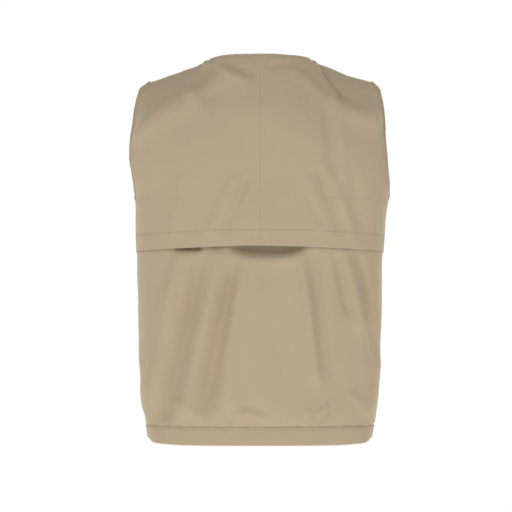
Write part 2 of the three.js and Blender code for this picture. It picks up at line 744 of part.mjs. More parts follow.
// Inside the back neck: a strap that hangs in an arc, and a plain label.
const neckIn = offsetPoint(Math.PI / 2, 0.93, -4);
const loopPath = new THREE.QuadraticBezierCurve3(
  new THREE.Vector3(-LOOP_HALF, neckIn.y, neckIn.z),
  new THREE.Vector3(0, neckIn.y - 1, neckIn.z - 2 * LOOP_DROP),
  new THREE.Vector3(LOOP_HALF, neckIn.y, neckIn.z),
);
const strapSection = new THREE.Shape()
  .moveTo(-LOOP_THICK / 2, -LOOP_WIDTH / 2)
  .lineTo(LOOP_THICK / 2, -LOOP_WIDTH / 2)
  .lineTo(LOOP_THICK / 2, LOOP_WIDTH / 2)
  .lineTo(-LOOP_THICK / 2, LOOP_WIDTH / 2)
  .closePath();
add("hanger_loop", trim, new THREE.ExtrudeGeometry(strapSection, { steps: 12, extrudePath: loopPath }));

const labelTop = 0.78;
add("neck_label", mesh, slab(2, 1, (across, up, out) => {
  const centre = offsetPoint(Math.PI / 2, labelTop, -FREE - LABEL_THICK * out);
  const x = mix(-LABEL_HALF, LABEL_HALF, across);
  return centre.set(x, centre.y - 2, centre.z - LABEL_HEIGHT * (1 - up));
}));

// ---- placing ---------------------------------------------------------------------------------

const bounds = new THREE.Box3().setFromObject(vest);
vest.position.y = -(bounds.min.y + bounds.max.y) / 2;

export default vest;
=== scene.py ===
"""A worn fishing vest: vented back cape, zipped V-neck front, four bellows pockets."""

import json
import logging
import math
from dataclasses import dataclass
from enum import Enum
from typing import Callable, Sequence

import bmesh
import bpy
from mathutils import Matrix, Vector, noise


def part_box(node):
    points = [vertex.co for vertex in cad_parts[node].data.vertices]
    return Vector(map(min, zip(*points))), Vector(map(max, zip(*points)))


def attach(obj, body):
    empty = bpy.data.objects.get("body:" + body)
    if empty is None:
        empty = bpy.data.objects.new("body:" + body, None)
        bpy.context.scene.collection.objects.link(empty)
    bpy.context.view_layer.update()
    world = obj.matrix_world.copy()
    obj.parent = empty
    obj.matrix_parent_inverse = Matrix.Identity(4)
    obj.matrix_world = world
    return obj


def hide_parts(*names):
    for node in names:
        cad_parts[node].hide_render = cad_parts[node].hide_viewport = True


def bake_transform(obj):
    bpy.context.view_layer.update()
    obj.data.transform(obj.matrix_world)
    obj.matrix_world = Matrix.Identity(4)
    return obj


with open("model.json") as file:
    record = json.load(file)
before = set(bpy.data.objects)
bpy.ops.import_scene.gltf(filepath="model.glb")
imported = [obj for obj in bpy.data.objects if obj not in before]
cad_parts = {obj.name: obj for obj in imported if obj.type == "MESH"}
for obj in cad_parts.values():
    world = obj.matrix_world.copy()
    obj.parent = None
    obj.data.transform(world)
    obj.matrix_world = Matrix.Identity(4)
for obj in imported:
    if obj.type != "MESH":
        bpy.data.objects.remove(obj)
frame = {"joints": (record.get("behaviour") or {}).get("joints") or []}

LOG = logging.getLogger("vest")
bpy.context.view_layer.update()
MM = 0.001
QUARTER_TURN = math.pi / 2
NARROWEST = 10

Place = Callable[[float, float, float], Vector]
Relief = Callable[[Vector, float, float], float]


def mix(a: float, b: float, t: float) -> float:
    """The value a share t of the way from a to b."""
    return a + (b - a) * t


def clamp01(t: float) -> float:
    """t held between 0 and 1."""
    return min(1.0, max(0.0, t))


def smooth(t: float) -> float:
    """A ramp from 0 to 1 with soft ends."""
    t = clamp01(t)
    return t * t * (3 - 2 * t)


def bell(distance: float, width: float) -> float:
    """1 at no distance, falling off over a width."""
    return math.exp(-((distance / width) ** 2))


class Side(Enum):
    """The wearer's side a piece is on."""

    LEFT = 1
    RIGHT = -1

    @property
    def word(self) -> str:
        """The side as the end of a piece's name."""
        return self.name.lower()


class Slot(Enum):
    """The record's material slots, and the sewing thread."""

    SHELL = "shell"
    TRIM = "trim"
    MESH = "mesh"
    ZIP_TAPE = "zip_tape"
    METAL = "metal"
    THREAD = "thread"


@dataclass(frozen=True)
class Form:
    """The body form that all the cloth is laid on, in millimetres.

    Angles are 0 at the left side seam, 90 degrees at the centre back and -90 at the centre front.
    Heights are -1 at the hem, 0 at the chest and 1 at the top edge.
    """

    shift: float
    chest_z: float = 403
    chest_half: float = 206
    hem_half: float = 187
    belly: float = 3.5
    back_depth: float = 118
    hem_back_depth: float = 108
    front_depth: float = 126
    power: float = 2.6
    tip_half: float = 193
    tip_z: float = 592
    neck_half: float = 95
    neck_side_z: float = 627
    neck_back_z: float = 641
    neck_back_y: float = 60
    neck_angle: float = math.radians(50)
    seam_y: float = 4
    seam_gap: float = 0.15
    v_point_z: float = 470
    back_curl: float = 3.2
    front_curl: float = 1.9
    back_flare: float = 12
    front_flare: float = 3
    zip_half: float = 7
    girth: tuple[tuple[float, float, float], ...] = (
        (0, -2.5, -3),
        (30, -1.5, -2),
        (55, -3, -2),
        (71, -2, 0),
        (91, 2, 2),
        (131, 3.3, 3),
        (171, 0.5, 0),
        (211, 0, -1.5),
        (291, -1.5, -3),
        (330, -2, -2),
        (370, -2, 0),
        (390, -2, 2),
        (410, -1.5, 5),
        (430, 3.3, 8),
        (450, 10, 10),
        (470, 17, 12),
        (490, 20, 13.5),
        (510, 22, 15.5),
        (530, 22, 18.5),
        (550, 23, 20),
        (570, 22, 20),
        (583, 19, 18),
        (590, 17, 16),
        (596, 9, 11),
        (601, 4, 7),
        (606, 1, 3),
        (613, -2, -2),
        (650, 0, 0),
    )
    neck_pinch: float = 9.5
    neck_slope: float = 4
    back_scye: float = math.radians(14)
    front_scye: float = math.radians(20)
    scye_power: float = 0.35
    tip_trim: float = 0.133

    @property
    def front_edge(self) -> float:
        """The angle from the side seam to the front's edge beside the zip."""
        return QUARTER_TURN - math.atan(self.zip_half / self.front_depth)

    def section(self, angle: float, z: float) -> Vector:
        """A point of the horizontal section at the chest or below it.

        Args:
            angle: Angle round the body in radians, from the left side seam; fronts are below zero.
            z: Height in millimetres.

        Returns:
            The point.
        """
        fall = clamp01(1 - z / self.chest_z)
        half = mix(self.chest_half, self.hem_half, fall) + self.belly * math.sin(math.pi * fall)
        back = mix(self.back_depth, self.hem_back_depth, fall)
        depth = back if angle > 0 else self.front_depth
        across = (abs(math.cos(angle)) / half) ** self.power
        along = (abs(math.sin(angle)) / depth) ** self.power
        reach = (across + along) ** (-1 / self.power)
        return Vector((reach * math.cos(angle), reach * math.sin(angle), z))

    def top(self, angle: float) -> Vector:
        """A point of the shoulder seam or of the back neck's edge.

        Args:
            angle: Angle round the body in radians, from the left side seam; fronts are below zero.

        Returns:
            The point.
        """
        if angle > self.neck_angle:
            turn = (angle - self.neck_angle) / (QUARTER_TURN - self.neck_angle) * QUARTER_TURN
            rise = max(0.0, math.sin(turn)) ** 0.6
            return Vector(
                (
                    self.neck_half * math.cos(turn),
                    mix(self.seam_y, self.neck_back_y, math.sin(turn)),
                    mix(self.neck_side_z, self.neck_back_z, rise),
                )
            )
        along = angle / self.neck_angle if angle > 0 else -angle / self.front_edge
        gap = self.seam_gap if angle > 0 else -self.seam_gap
        x = mix(self.tip_half, self.neck_half, along)
        return Vector((x, self.seam_y + gap, mix(self.tip_z, self.neck_side_z, along)))

    def soft_top(self, angle: float, height: float) -> Vector:
        """The top edge with its neck corner eased, more so further below it.

        Args:
            angle: Angle round the body in radians, from the left side seam; fronts are below zero.
            height: Height on the form: -1 at its foot, 0 at the chest, 1 at the top edge.

        Returns:
            The point.
        """
        here = self.top(angle)
        ease = smooth((1 - height) / 0.1)
        if ease <= 0 or angle < 0.35 or angle > 1.35:
            return here
        total = Vector((0, 0, 0))
        for part in (-0.24, -0.16, -0.08, 0.08, 0.16, 0.24):
            total += self.top(min(QUARTER_TURN, angle + part)) / 6
        fade = smooth((angle - 0.35) / 0.2) * smooth((1.35 - angle) / 0.2)
        return here.lerp(total, ease * fade)

    def widen(self, at: Vector) -> Vector:
        """Lets the sides out or in to the garment's measured girth at each height.

        Args:
            at: A place on the form.

        Returns:
            The moved place.
        """
        rows = self.girth
        row = next((i for i in range(1, len(rows)) if at.z < rows[i][0]), len(rows) - 1)
        low, high = rows[row - 1], rows[row]
        share = clamp01((at.z - low[0]) / (high[0] - low[0]))
        column = 1 if at.x > 0 else 2
        more = mix(low[column], high[column], share) * smooth((abs(at.x) - 95) / 85)
        more += self.neck_slope * bell(at.z - 618, 12) * bell(abs(at.x) - 120, 34)
        more -= self.neck_pinch * smooth((at.z - 627) / 10) * bell(abs(at.x) - 95, 32)
        return Vector((at.x + (more if at.x > 0 else -more), at.y, at.z))

    def height(self, angle: float, z: float) -> float:
        """The height that a z has at an angle.

        Args:
            angle: Angle round the body in radians, from the left side seam; fronts are below zero.
            z: Height in millimetres.

        Returns:
            The height on the form.
        """
        side = min(angle, math.pi - angle) if angle > 0 else max(angle, -math.pi - angle)
        if z <= self.chest_z:
            return z / self.chest_z - 1
        return (z - self.chest_z) / (self.top(side).z - self.chest_z)

    def bare(self, angle: float, height: float) -> Vector:
        """A point of the form before the shift to the frame's middle.

        Args:
            angle: Angle round the body in radians, from the left side seam; fronts are below zero.
            height: Height on the form: -1 at its foot, 0 at the chest, 1 at the top edge.

        Returns:
            The point.
        """
        if abs(angle) > QUARTER_TURN:
            twin = self.bare(math.copysign(math.pi - abs(angle), angle), height)
            return Vector((-twin.x, twin.y, twin.z))
        if height <= 0:
            return self.section(angle, self.chest_z * (1 + height))
        base, top = self.section(angle, self.chest_z), self.soft_top(angle, height)
        front = angle < 0
        start = (self.v_point_z - self.chest_z) / (self.neck_side_z - self.chest_z)
        spread = clamp01((height - start) / (1 - start)) if front else height
        roll = spread ** (self.front_curl if front else self.back_curl)
        edge = clamp01(1 - abs(angle) / math.radians(40))
        flare = (self.front_flare if front else self.back_flare) * edge
        flare *= math.sin(math.pi * clamp01(height))
        x = mix(base.x, top.x, spread) + flare
        return Vector((x, mix(base.y, top.y, roll), mix(self.chest_z, top.z, height)))

    def at(self, angle: float, height: float, off: float = 0.0) -> Vector:
        """A place in the frame, off the form by a distance along its normal.

        Args:
            angle: Angle round the body in radians, from the left side seam; fronts are below zero.
            height: Height on the form: -1 at its foot, 0 at the chest, 1 at the top edge.
            off: Distance out of the cloth in millimetres.

        Returns:
            The place in millimetres.
        """
        step = 0.004
        here = self.bare(angle, height)
        least = 0.09 * smooth(height * 3)
        turned = max(abs(angle), least)
        if abs(angle) > QUARTER_TURN:
            turned = min(abs(angle), math.pi - least)
        probe = math.copysign(turned, angle)
        aside = self.bare(probe + step, height) - self.bare(probe - step, height)
        up = self.bare(probe, min(1.0, height + step)) - self.bare(probe, height - step)
        normal = aside.cross(up).normalized()
        seam = smooth((height - 0.9) / 0.1)
        if angle > 0:
            seam *= 1 - smooth((min(angle, math.pi - angle) - self.neck_angle) / 0.25)
        place = here + normal.lerp(Vector((0, 0, 1)), seam).normalized() * off
        place.y += self.shift
        return place

    def scye(self, height: float, most: float) -> float:
        """The armhole edge's angle from the side seam at a height.

        Args:
            height: Height on the form: -1 at its foot, 0 at the chest, 1 at the top edge.
            most: The widest angle of that armhole.

        Returns:
            The angle in radians.
        """
        if height <= 0:
            return 0.0
        curve = most * math.sin(math.pi * clamp01(height)) ** self.scye_power
        whole = self.neck_angle if most == self.back_scye else self.front_edge
        return max(curve, self.tip_trim * whole * smooth((height - 0.6) / 0.3))

    def angle_at(self, x: float, z: float) -> float:
        """The front angle of a place x from the centre at height z.

        Args:
            x: Distance from the centre in millimetres.
            z: Height in millimetres.

        Returns:
            The angle in radians.
        """
        near, far = 0.0, QUARTER_TURN
        for _ in range(32):
            middle = (near + far) / 2
            if self.section(-middle, z).x > x:
                near = middle
            else:
                far = middle
        return -near


FORM = Form(shift=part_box("hem_band_back")[0].y / MM - 1)


@dataclass(frozen=True)
class Fold:
    """A soft ridge or valley in the cloth between two places, by their x and z in millimetres."""

    x0: float
    z0: float
    x1: float
    z1: float
    width: float
    depth: float
    bow: float = 0.0

    def lift(self, x: float, z: float) -> float:
        """How far this fold lifts the cloth at a place.

        Args:
            x: Distance from the centre in millimetres.
            z: Height in millimetres.

        Returns:
            The lift in millimetres.
        """
        dx, dz = self.x1 - self.x0, self.z1 - self.z0
        length = math.hypot(dx, dz)
        t = ((x - self.x0) * dx + (z - self.z0) * dz) / length**2
        across = ((x - self.x0) * dz - (z - self.z0) * dx) / length
        inside = clamp01(t)
        across -= self.bow * math.sin(math.pi * inside)
        beyond = (t - inside) * length
        spread = self.width * mix(0.68, 1.12, inside)
        end = smooth(t * 4 + 0.6) * smooth((1 - t) * 4 + 0.6)
        return self.depth * bell(across, spread) * bell(beyond, self.width * 1.4) * end


CAPE_FOLDS = (
    Fold(22, 436, 60, 350, 9, -2.6),
    Fold(40, 440, 80, 352, 11, 2.0),
    Fold(-82, 436, -98, 352, 9, 2.2),
    Fold(-80, 404, -97, 364, 6, -2.2),
    Fold(-96, 448, -136, 350, 9, -3.0),
    Fold(-112, 450, -150, 350, 10, 2.0),
    Fold(-108, 560, -122, 450, 12, -1.6),
    Fold(-128, 545, -140, 440, 12, 1.4),
    Fold(-148, 460, -168, 345, 12, -1.4),
    Fold(210, 500, 104, 572, 21, 6.4, 6),
    Fold(112, 568, 50, 612, 16, 4.2),
    Fold(-52, 618, -118, 566, 13, 2.6),
    Fold(-112, 562, -206, 534, 18, 5.4, -4),
    Fold(52, 628, 12, 607, 6, -2.4),
    Fold(64, 618, 22, 596, 9, 1.8),
    Fold(-14, 622, -52, 628, 6, -1.8),
    Fold(-103, 622, -138, 570, 6, -2.6),
    Fold(-90, 618, -122, 576, 7, 1.8),
    Fold(128, 440, 146, 345, 14, 1.8),
    Fold(98, 430, 106, 350, 11, -1.6),
    Fold(0, 560, 0, 350, 60, 2.0),
)

LOWER_FOLDS = (
    Fold(98, 312, 158, 50, 13, -6.4, 3),
    Fold(132, 318, 186, 60, 15, 4.4),
    Fold(66, 318, 122, 56, 13, 4.6),
    Fold(44, 290, 92, 60, 12, -5.4),
    Fold(26, 316, 60, 60, 14, 3.4),
    Fold(4, 310, 6, 60, 36, 3.2),
    Fold(-66, 314, -94, 110, 11, 4.6),
    Fold(-88, 312, -106, 118, 12, -4.2),
    Fold(-122, 314, -148, 215, 8, -4.4),
    Fold(-140, 314, -168, 190, 9, 4.2),
    Fold(-160, 314, -196, 140, 9, -5.6),
    Fold(-76, 58, -112, 66, 5, 2.4, -9),
    Fold(-84, 48, -118, 56, 5, -1.6, -8),
    Fold(40, 52, -14, 42, 6, 2.2, 6),
    Fold(28, 62, -6, 50, 6, -1.6, 5),
    Fold(150, 74, 96, 46, 7, 2.0, 6),
    Fold(78, 70, 46, 40, 7, -1.8, 4),
    Fold(-150, 84, -176, 50, 8, 2.0, 4),
)

FRONT_FOLDS = (
    Fold(176, 440, 150, 300, 11, -3.4),
    Fold(192, 430, 172, 290, 11, 3.0),
    Fold(186, 300, 174, 60, 12, -3.6),
    Fold(196, 260, 190, 40, 10, 2.6),
    Fold(172, 560, 120, 470, 13, -3.0),
    Fold(186, 540, 150, 440, 14, 3.0),
    Fold(120, 600, 96, 500, 14, 2.6),
    Fold(84, 560, 40, 440, 12, -2.4),
    Fold(66, 540, 20, 430, 11, 2.2),
    Fold(36, 420, 24, 250, 10, 2.2),
    Fold(24, 400, 30, 262, 8, -1.8),
    Fold(22, 240, 26, 40, 9, 2.2),
    Fold(170, 262, 60, 250, 9, -1.6),
    Fold(40, 66, 110, 48, 8, 1.8, 5),
    Fold(120, 60, 176, 44, 8, -2.0, 4),
)


def wrinkle(at: Vector, scale: float) -> float:
    """Fine unevenness of worn cloth at a place, longer up and down than across.

    Args:
        at: The spot in millimetres.
        scale: How strong it is, in millimetres.

    Returns:
        The lift in millimetres.
    """
    spot = Vector((at.x / 26, at.y / 30, at.z / 62))
    fine = Vector((at.x / 9, at.y / 10, at.z / 17))
    return scale * (noise.noise(spot) * 1.5 + noise.noise(fine) * 0.35)


def folds_at(at: Vector, folds: Sequence[Fold]) -> float:
    """The lift of a set of folds at a place, fading out towards the side seams."""
    depth = (at.y - FORM.shift) / 60
    return sum(fold.lift(at.x, at.z) for fold in folds) * smooth(abs(depth) * 1.6)


# ---- finishes --------------------------------------------------------------------------------


class Socket:
    """An output of a shader node that can be used in an expression."""

    def __init__(self, look: "Look", output: bpy.types.NodeSocket) -> None:
        """Wraps one output.

        Args:
            look: The material being made.
            output: The node's output.
        """
        self.look = look
        self.output = output

    def _maths(self, operation: str, *values: "Socket | float") -> "Socket":
        """Adds a Math node.

        Args:
            operation: The node's operation.
            *values: Its inputs in order.

        Returns:
            The node's value.
        """
        inputs = dict(enumerate(values))
        return self.look.node("ShaderNodeMath", {"operation": operation}, inputs)

    def __add__(self, other: "Socket | float") -> "Socket":
        """The sum."""
        return self._maths("ADD", self, other)

    __radd__ = __add__

    def __mul__(self, other: "Socket | float") -> "Socket":
        """The product."""
        return self._maths("MULTIPLY", self, other)

    __rmul__ = __mul__

    def __sub__(self, other: "Socket | float") -> "Socket":
        """The difference."""
        return self._maths("SUBTRACT", self, other)

    def __rsub__(self, other: float) -> "Socket":
        """The difference from a number."""
        return self._maths("SUBTRACT", other, self)

    def __pow__(self, other: float) -> "Socket":
        """The power."""
        return self._maths("POWER", self, other)

    def __gt__(self, other: float) -> "Socket":
        """1 where greater."""
        return self._maths("GREATER_THAN", self, other)

    def sine(self) -> "Socket":
        """The sine, in radians."""
        return self._maths("SINE", self)

    def size(self) -> "Socket":
        """The value without its sign."""
        return self._maths("ABSOLUTE", self)


class Look:
    """A material while it is being made."""

    def __init__(self, name: str) -> None:
        """Starts a material with one Principled shader.

        Args:
            name: The material's name.
        """
        self.material = bpy.data.materials.new(name)
        self.material.use_nodes = True
        self.tree = self.material.node_tree
        self.shader = self.tree.nodes["Principled BSDF"]

    def node(self, kind: str, settings: dict, inputs: dict, output: int | str = 0) -> Socket:
        """Adds a node.

        Args:
            kind: The node's type.
            settings: Its properties, set first.
            inputs: Values or Sockets by input name or number.
            output: The output to return.

        Returns:
            The chosen output.
        """
        made = self.tree.nodes.new(kind)
        for key, value in settings.items():
            if key == "stops":
                for spot, stop in zip(made.color_ramp.elements, value):
                    spot.position, spot.color = stop
            else:
                setattr(made, key, value)
        for key, value in inputs.items():
            self.join(made.inputs[key], value)
        return Socket(self, made.outputs[output])

    def join(self, entry: bpy.types.NodeSocket, value: object) -> None:
        """Links a Socket to an input, or sets the input's value.

        Args:
            entry: The input.
            value: A Socket or a plain value.
        """
        if isinstance(value, Socket):
            self.tree.links.new(value.output, entry)
        else:
            entry.default_value = value

    def set(self, **values: object) -> None:
        """Sets or links the shader's own inputs, with underscores for the spaces."""
        for key, value in values.items():
            self.join(self.shader.inputs[key.replace("_", " ")], value)

    def noise(self, where: Socket, scale: float, detail: float = 2.0) -> Socket:
        """Cloudy noise at a place."""
        inputs = {"Vector": where, "Scale": scale, "Detail": detail, "Roughness": 0.55}
        return self.node("ShaderNodeTexNoise", {}, inputs)

    def blend(self, share: Socket, first: object, second: object, kind: str = "MIX") -> Socket:
        """Mixes two colours by a share."""
        settings = {"data_type": "RGBA", "blend_type": kind}
        return self.node("ShaderNodeMix", settings, {0: share, 6: first, 7: second}, 2)

    def bump(self, height: Socket, strength: float, distance: float) -> Socket:
        """A normal bent by a height."""
        inputs = {"Height": height, "Strength": strength, "Distance": distance}
        return self.node("ShaderNodeBump", {}, inputs)


Colour = tuple[float, float, float]


def shade(colour: Colour, factor: float) -> tuple[float, float, float, float]:
    """A colour made lighter or darker, with an alpha of 1."""
    return (*[min(1.0, part * factor) for part in colour], 1.0)


@dataclass(frozen=True)
class Cloth:
    """A woven finish that follows the piece's own UV map, which is in metres."""

    name: str
    colour: Colour
    yarn: float = 0.62
    relief: float = 0.35
    mottle: float = 0.06
    sheen: float = 0.18
    roughness: float = 0.86
    holes: float = 0.0

    def make(self) -> bpy.types.Material:
        """Builds the material.

        Returns:
            The finished material.
        """
        look = Look(self.name)
        spot = look.node("ShaderNodeTexCoord", {}, {}, "UV")
        body = look.node("ShaderNodeTexCoord", {}, {}, "Object")
        parts = look.node("ShaderNodeSeparateXYZ", {}, {"Vector": spot}, 0)
        across = parts
        along = Socket(look, parts.output.node.outputs[1])
        turns = 2 * math.pi / (self.yarn * MM)
        warp, weft = (across * turns).sine(), (along * turns).sine()
        weave = warp * weft * 0.5 + 0.5
        streak_map = look.node("ShaderNodeMapping", {}, {"Vector": spot, "Scale": (1600, 60, 1)})
        weft_map = look.node("ShaderNodeMapping", {}, {"Vector": spot, "Scale": (60, 1600, 1)})
        slub = look.noise(streak_map, 1.0) + look.noise(weft_map, 1.0)
        cloud = look.noise(body, 9.0, 4.0)
        fleck = look.noise(body, 240.0, 2.0)
        wear = look.node("ShaderNodeAttribute", {"attribute_name": "wear"}, {}, "Fac")
        # Painted shade, read from the grid: darker along the sunken seams and over the whole of a
        # doubled band.
        groove = look.node("ShaderNodeAttribute", {"attribute_name": "groove"}, {}, "Fac")
        tone = cloud * 0.5 + slub * 0.35 + fleck * 0.15 - 0.1
        low, high = shade(self.colour, 1 - self.mottle), shade(self.colour, 1 + self.mottle)
        colour = look.blend(tone, low, high)
        colour = look.blend(weave * 0.16, colour, shade(self.colour, 0.8))
        colour = look.blend(wear * 0.35, colour, shade(self.colour, 1.2))
        # Mixes in the painted shade, up to 30% of the way to a tone 0.7 as bright.
        colour = look.blend(groove * 0.3, colour, shade(self.colour, 0.7))
        height = weave * 0.6 + slub * 0.5 + fleck * 0.25
        look.set(
            Base_Color=colour,
            Roughness=self.roughness - wear * 0.08 + slub * 0.04,
            Sheen_Weight=self.sheen,
            Sheen_Roughness=0.45,
            Specular_IOR_Level=0.18,
            Normal=look.bump(height, self.relief, 0.00022),
        )
        if self.holes:
            count = math.pi / (self.holes * MM)
            open_ = (across * count).sine() * (along * count).sine()
            look.set(Alpha=1 - (open_.size() > 0.62))
        return look.material


@dataclass(frozen=True)
class Metal:
    """A cast and tumbled metal finish."""

    name: str
    colour: Colour
    roughness: float = 0.34

    def make(self) -> bpy.types.Material:
        """Builds the material.

        Returns:
            The finished material.
        """
        look = Look(self.name)
        body = look.node("ShaderNodeTexCoord", {}, {}, "Object")
        cloud = look.noise(body, 160.0, 3.0)
        grain = look.noise(body, 1400.0, 2.0)
        look.set(
            Base_Color=look.blend(cloud, shade(self.colour, 0.7), shade(self.colour, 1.25)),
            Metallic=1.0,
            Roughness=cloud * 0.2 + (self.roughness - 0.1),
            Normal=look.bump(grain + cloud, 0.25, 0.0001),
        )
        return look.material


@dataclass(frozen=True)
class Thread:
    """A twisted sewing thread."""

    name: str
    colour: Colour

    def make(self) -> bpy.types.Material:
        """Builds the material.

        Returns:
            The finished material.
        """
        look = Look(self.name)
        body = look.node("ShaderNodeTexCoord", {}, {}, "Object")
        turn = look.node("ShaderNodeMapping", {}, {"Vector": body, "Rotation": (0.6, 0.6, 0.8)})
        twist = look.noise(turn, 1800.0, 1.0)
        look.set(
            Base_Color=look.blend(twist, shade(self.colour, 0.82), shade(self.colour, 1.15)),
            Roughness=twist * 0.2 + 0.5,
            Sheen_Weight=0.25,
            Normal=look.bump(twist, 0.5, 0.0001),
        )
        return look.material


SHELL: Colour = (0.470, 0.372, 0.246)
TRIM: Colour = (0.435, 0.340, 0.222)
FINISHES = {
    Slot.SHELL: Cloth("poplin", SHELL),
    Slot.TRIM: Cloth("bias_binding", TRIM, yarn=0.55, relief=0.45),
    Slot.MESH: Cloth("knit_mesh", (0.52, 0.43, 0.30), yarn=1.1, relief=0.6, holes=3.2),
    Slot.ZIP_TAPE: Cloth("woven_tape", (0.38, 0.30, 0.19), yarn=0.8, relief=0.7, sheen=0.08),
    Slot.METAL: Metal("antique_brass", (0.34, 0.26, 0.14)),
    Slot.THREAD: Thread("sewing_thread", (0.46, 0.36, 0.235)),
}
LOOKS = {slot: finish.make() for slot, finish in FINISHES.items()}


# ---- making pieces ---------------------------------------------------------------------------


@dataclass(frozen=True)
class Ride:
    """What carries a piece: one body, or, where a far body is named, nothing, so the piece stays where
    it was made.
    """

    body: str
    far: str = ""
    start: tuple[float, float, float] = (0, 0, 0)
    end: tuple[float, float, float] = (0, 0, 0)

    def carry(self, piece: bpy.types.Object) -> None:
        """Puts a piece on its body, or bakes its transform in place where a far body is named.

        Args:
            piece: The piece.
        """
        if self.far:
            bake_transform(piece)
        else:
            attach(piece, self.body)


def piece_from(mesh: bmesh.types.BMesh, name: str, slot: Slot) -> bpy.types.Object:
    """Makes a finished bmesh, in millimetres, an object with the slot's material.

    Args:
        mesh: The shape, freed afterwards.
        name: The piece's name.
        slot: What it is made of.

    Returns:
        The new object.
    """
    bmesh.ops.scale(mesh, vec=(MM, MM, MM), verts=mesh.verts)
    for face in mesh.faces:
        face.smooth = True
    data = bpy.data.meshes.new(name)
    mesh.to_mesh(data)
    mesh.free()
    data.materials.append(LOOKS[slot])
    piece = bpy.data.objects.new(name, data)
    bpy.context.scene.collection.objects.link(piece)
    return piece


def hardware(
    mesh: bmesh.types.BMesh, name: str, body: str, node: str, slot: Slot = Slot.METAL
) -> bpy.types.Object:
    """Makes a finished bmesh a hard piece on its body.

    Args:
        mesh: The shape in millimetres, freed afterwards.
        name: The piece's name.
        body: The body that carries it.
        node: The CAD node that it stands for.
        slot: What it is made of.

    Returns:
        The new object.
    """
    piece = piece_from(mesh, name, slot)
    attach(piece, body)
    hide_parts(node)
    return piece


def from_start(line: float, size: float) -> float:
    """A seam's distance from the start, where one below zero is measured from the end."""
    return line if line >= 0 else size + line


def stops(length: float, step: float, lines: Sequence[float]) -> list[float]:
    """Where the rows of a grid go, as shares of its length.

    Args:
        length: The length in millimetres.
        step: The usual row spacing.
        lines: Seams, as distances from the start, or from the end if negative.

    Returns:
        Rising shares from 0 to 1, closer together at seams and at both ends.
    """
    marks = {0.0, 0.8, 2.6, length - 2.6, length - 0.8, length}
    for line in lines:
        middle = from_start(line, length)
        marks.update(middle + part for part in (-2.4, -1.0, 0.0, 1.0, 2.4))
    count = max(1, round(length / step))
    keep = sorted(mark for mark in marks if 0 <= mark <= length)
    for i in range(1, count):
        spot = length * i / count
        if all(abs(spot - mark) > step * 0.4 for mark in keep):
            marks.add(spot)
    rows = sorted(mark for mark in marks if 0 <= mark <= length)
    tidy = [rows[0]]
    for row in rows[1:]:
        if row - tidy[-1] > 0.25 or row == length:
            tidy.append(row)
    return [row / length for row in tidy]


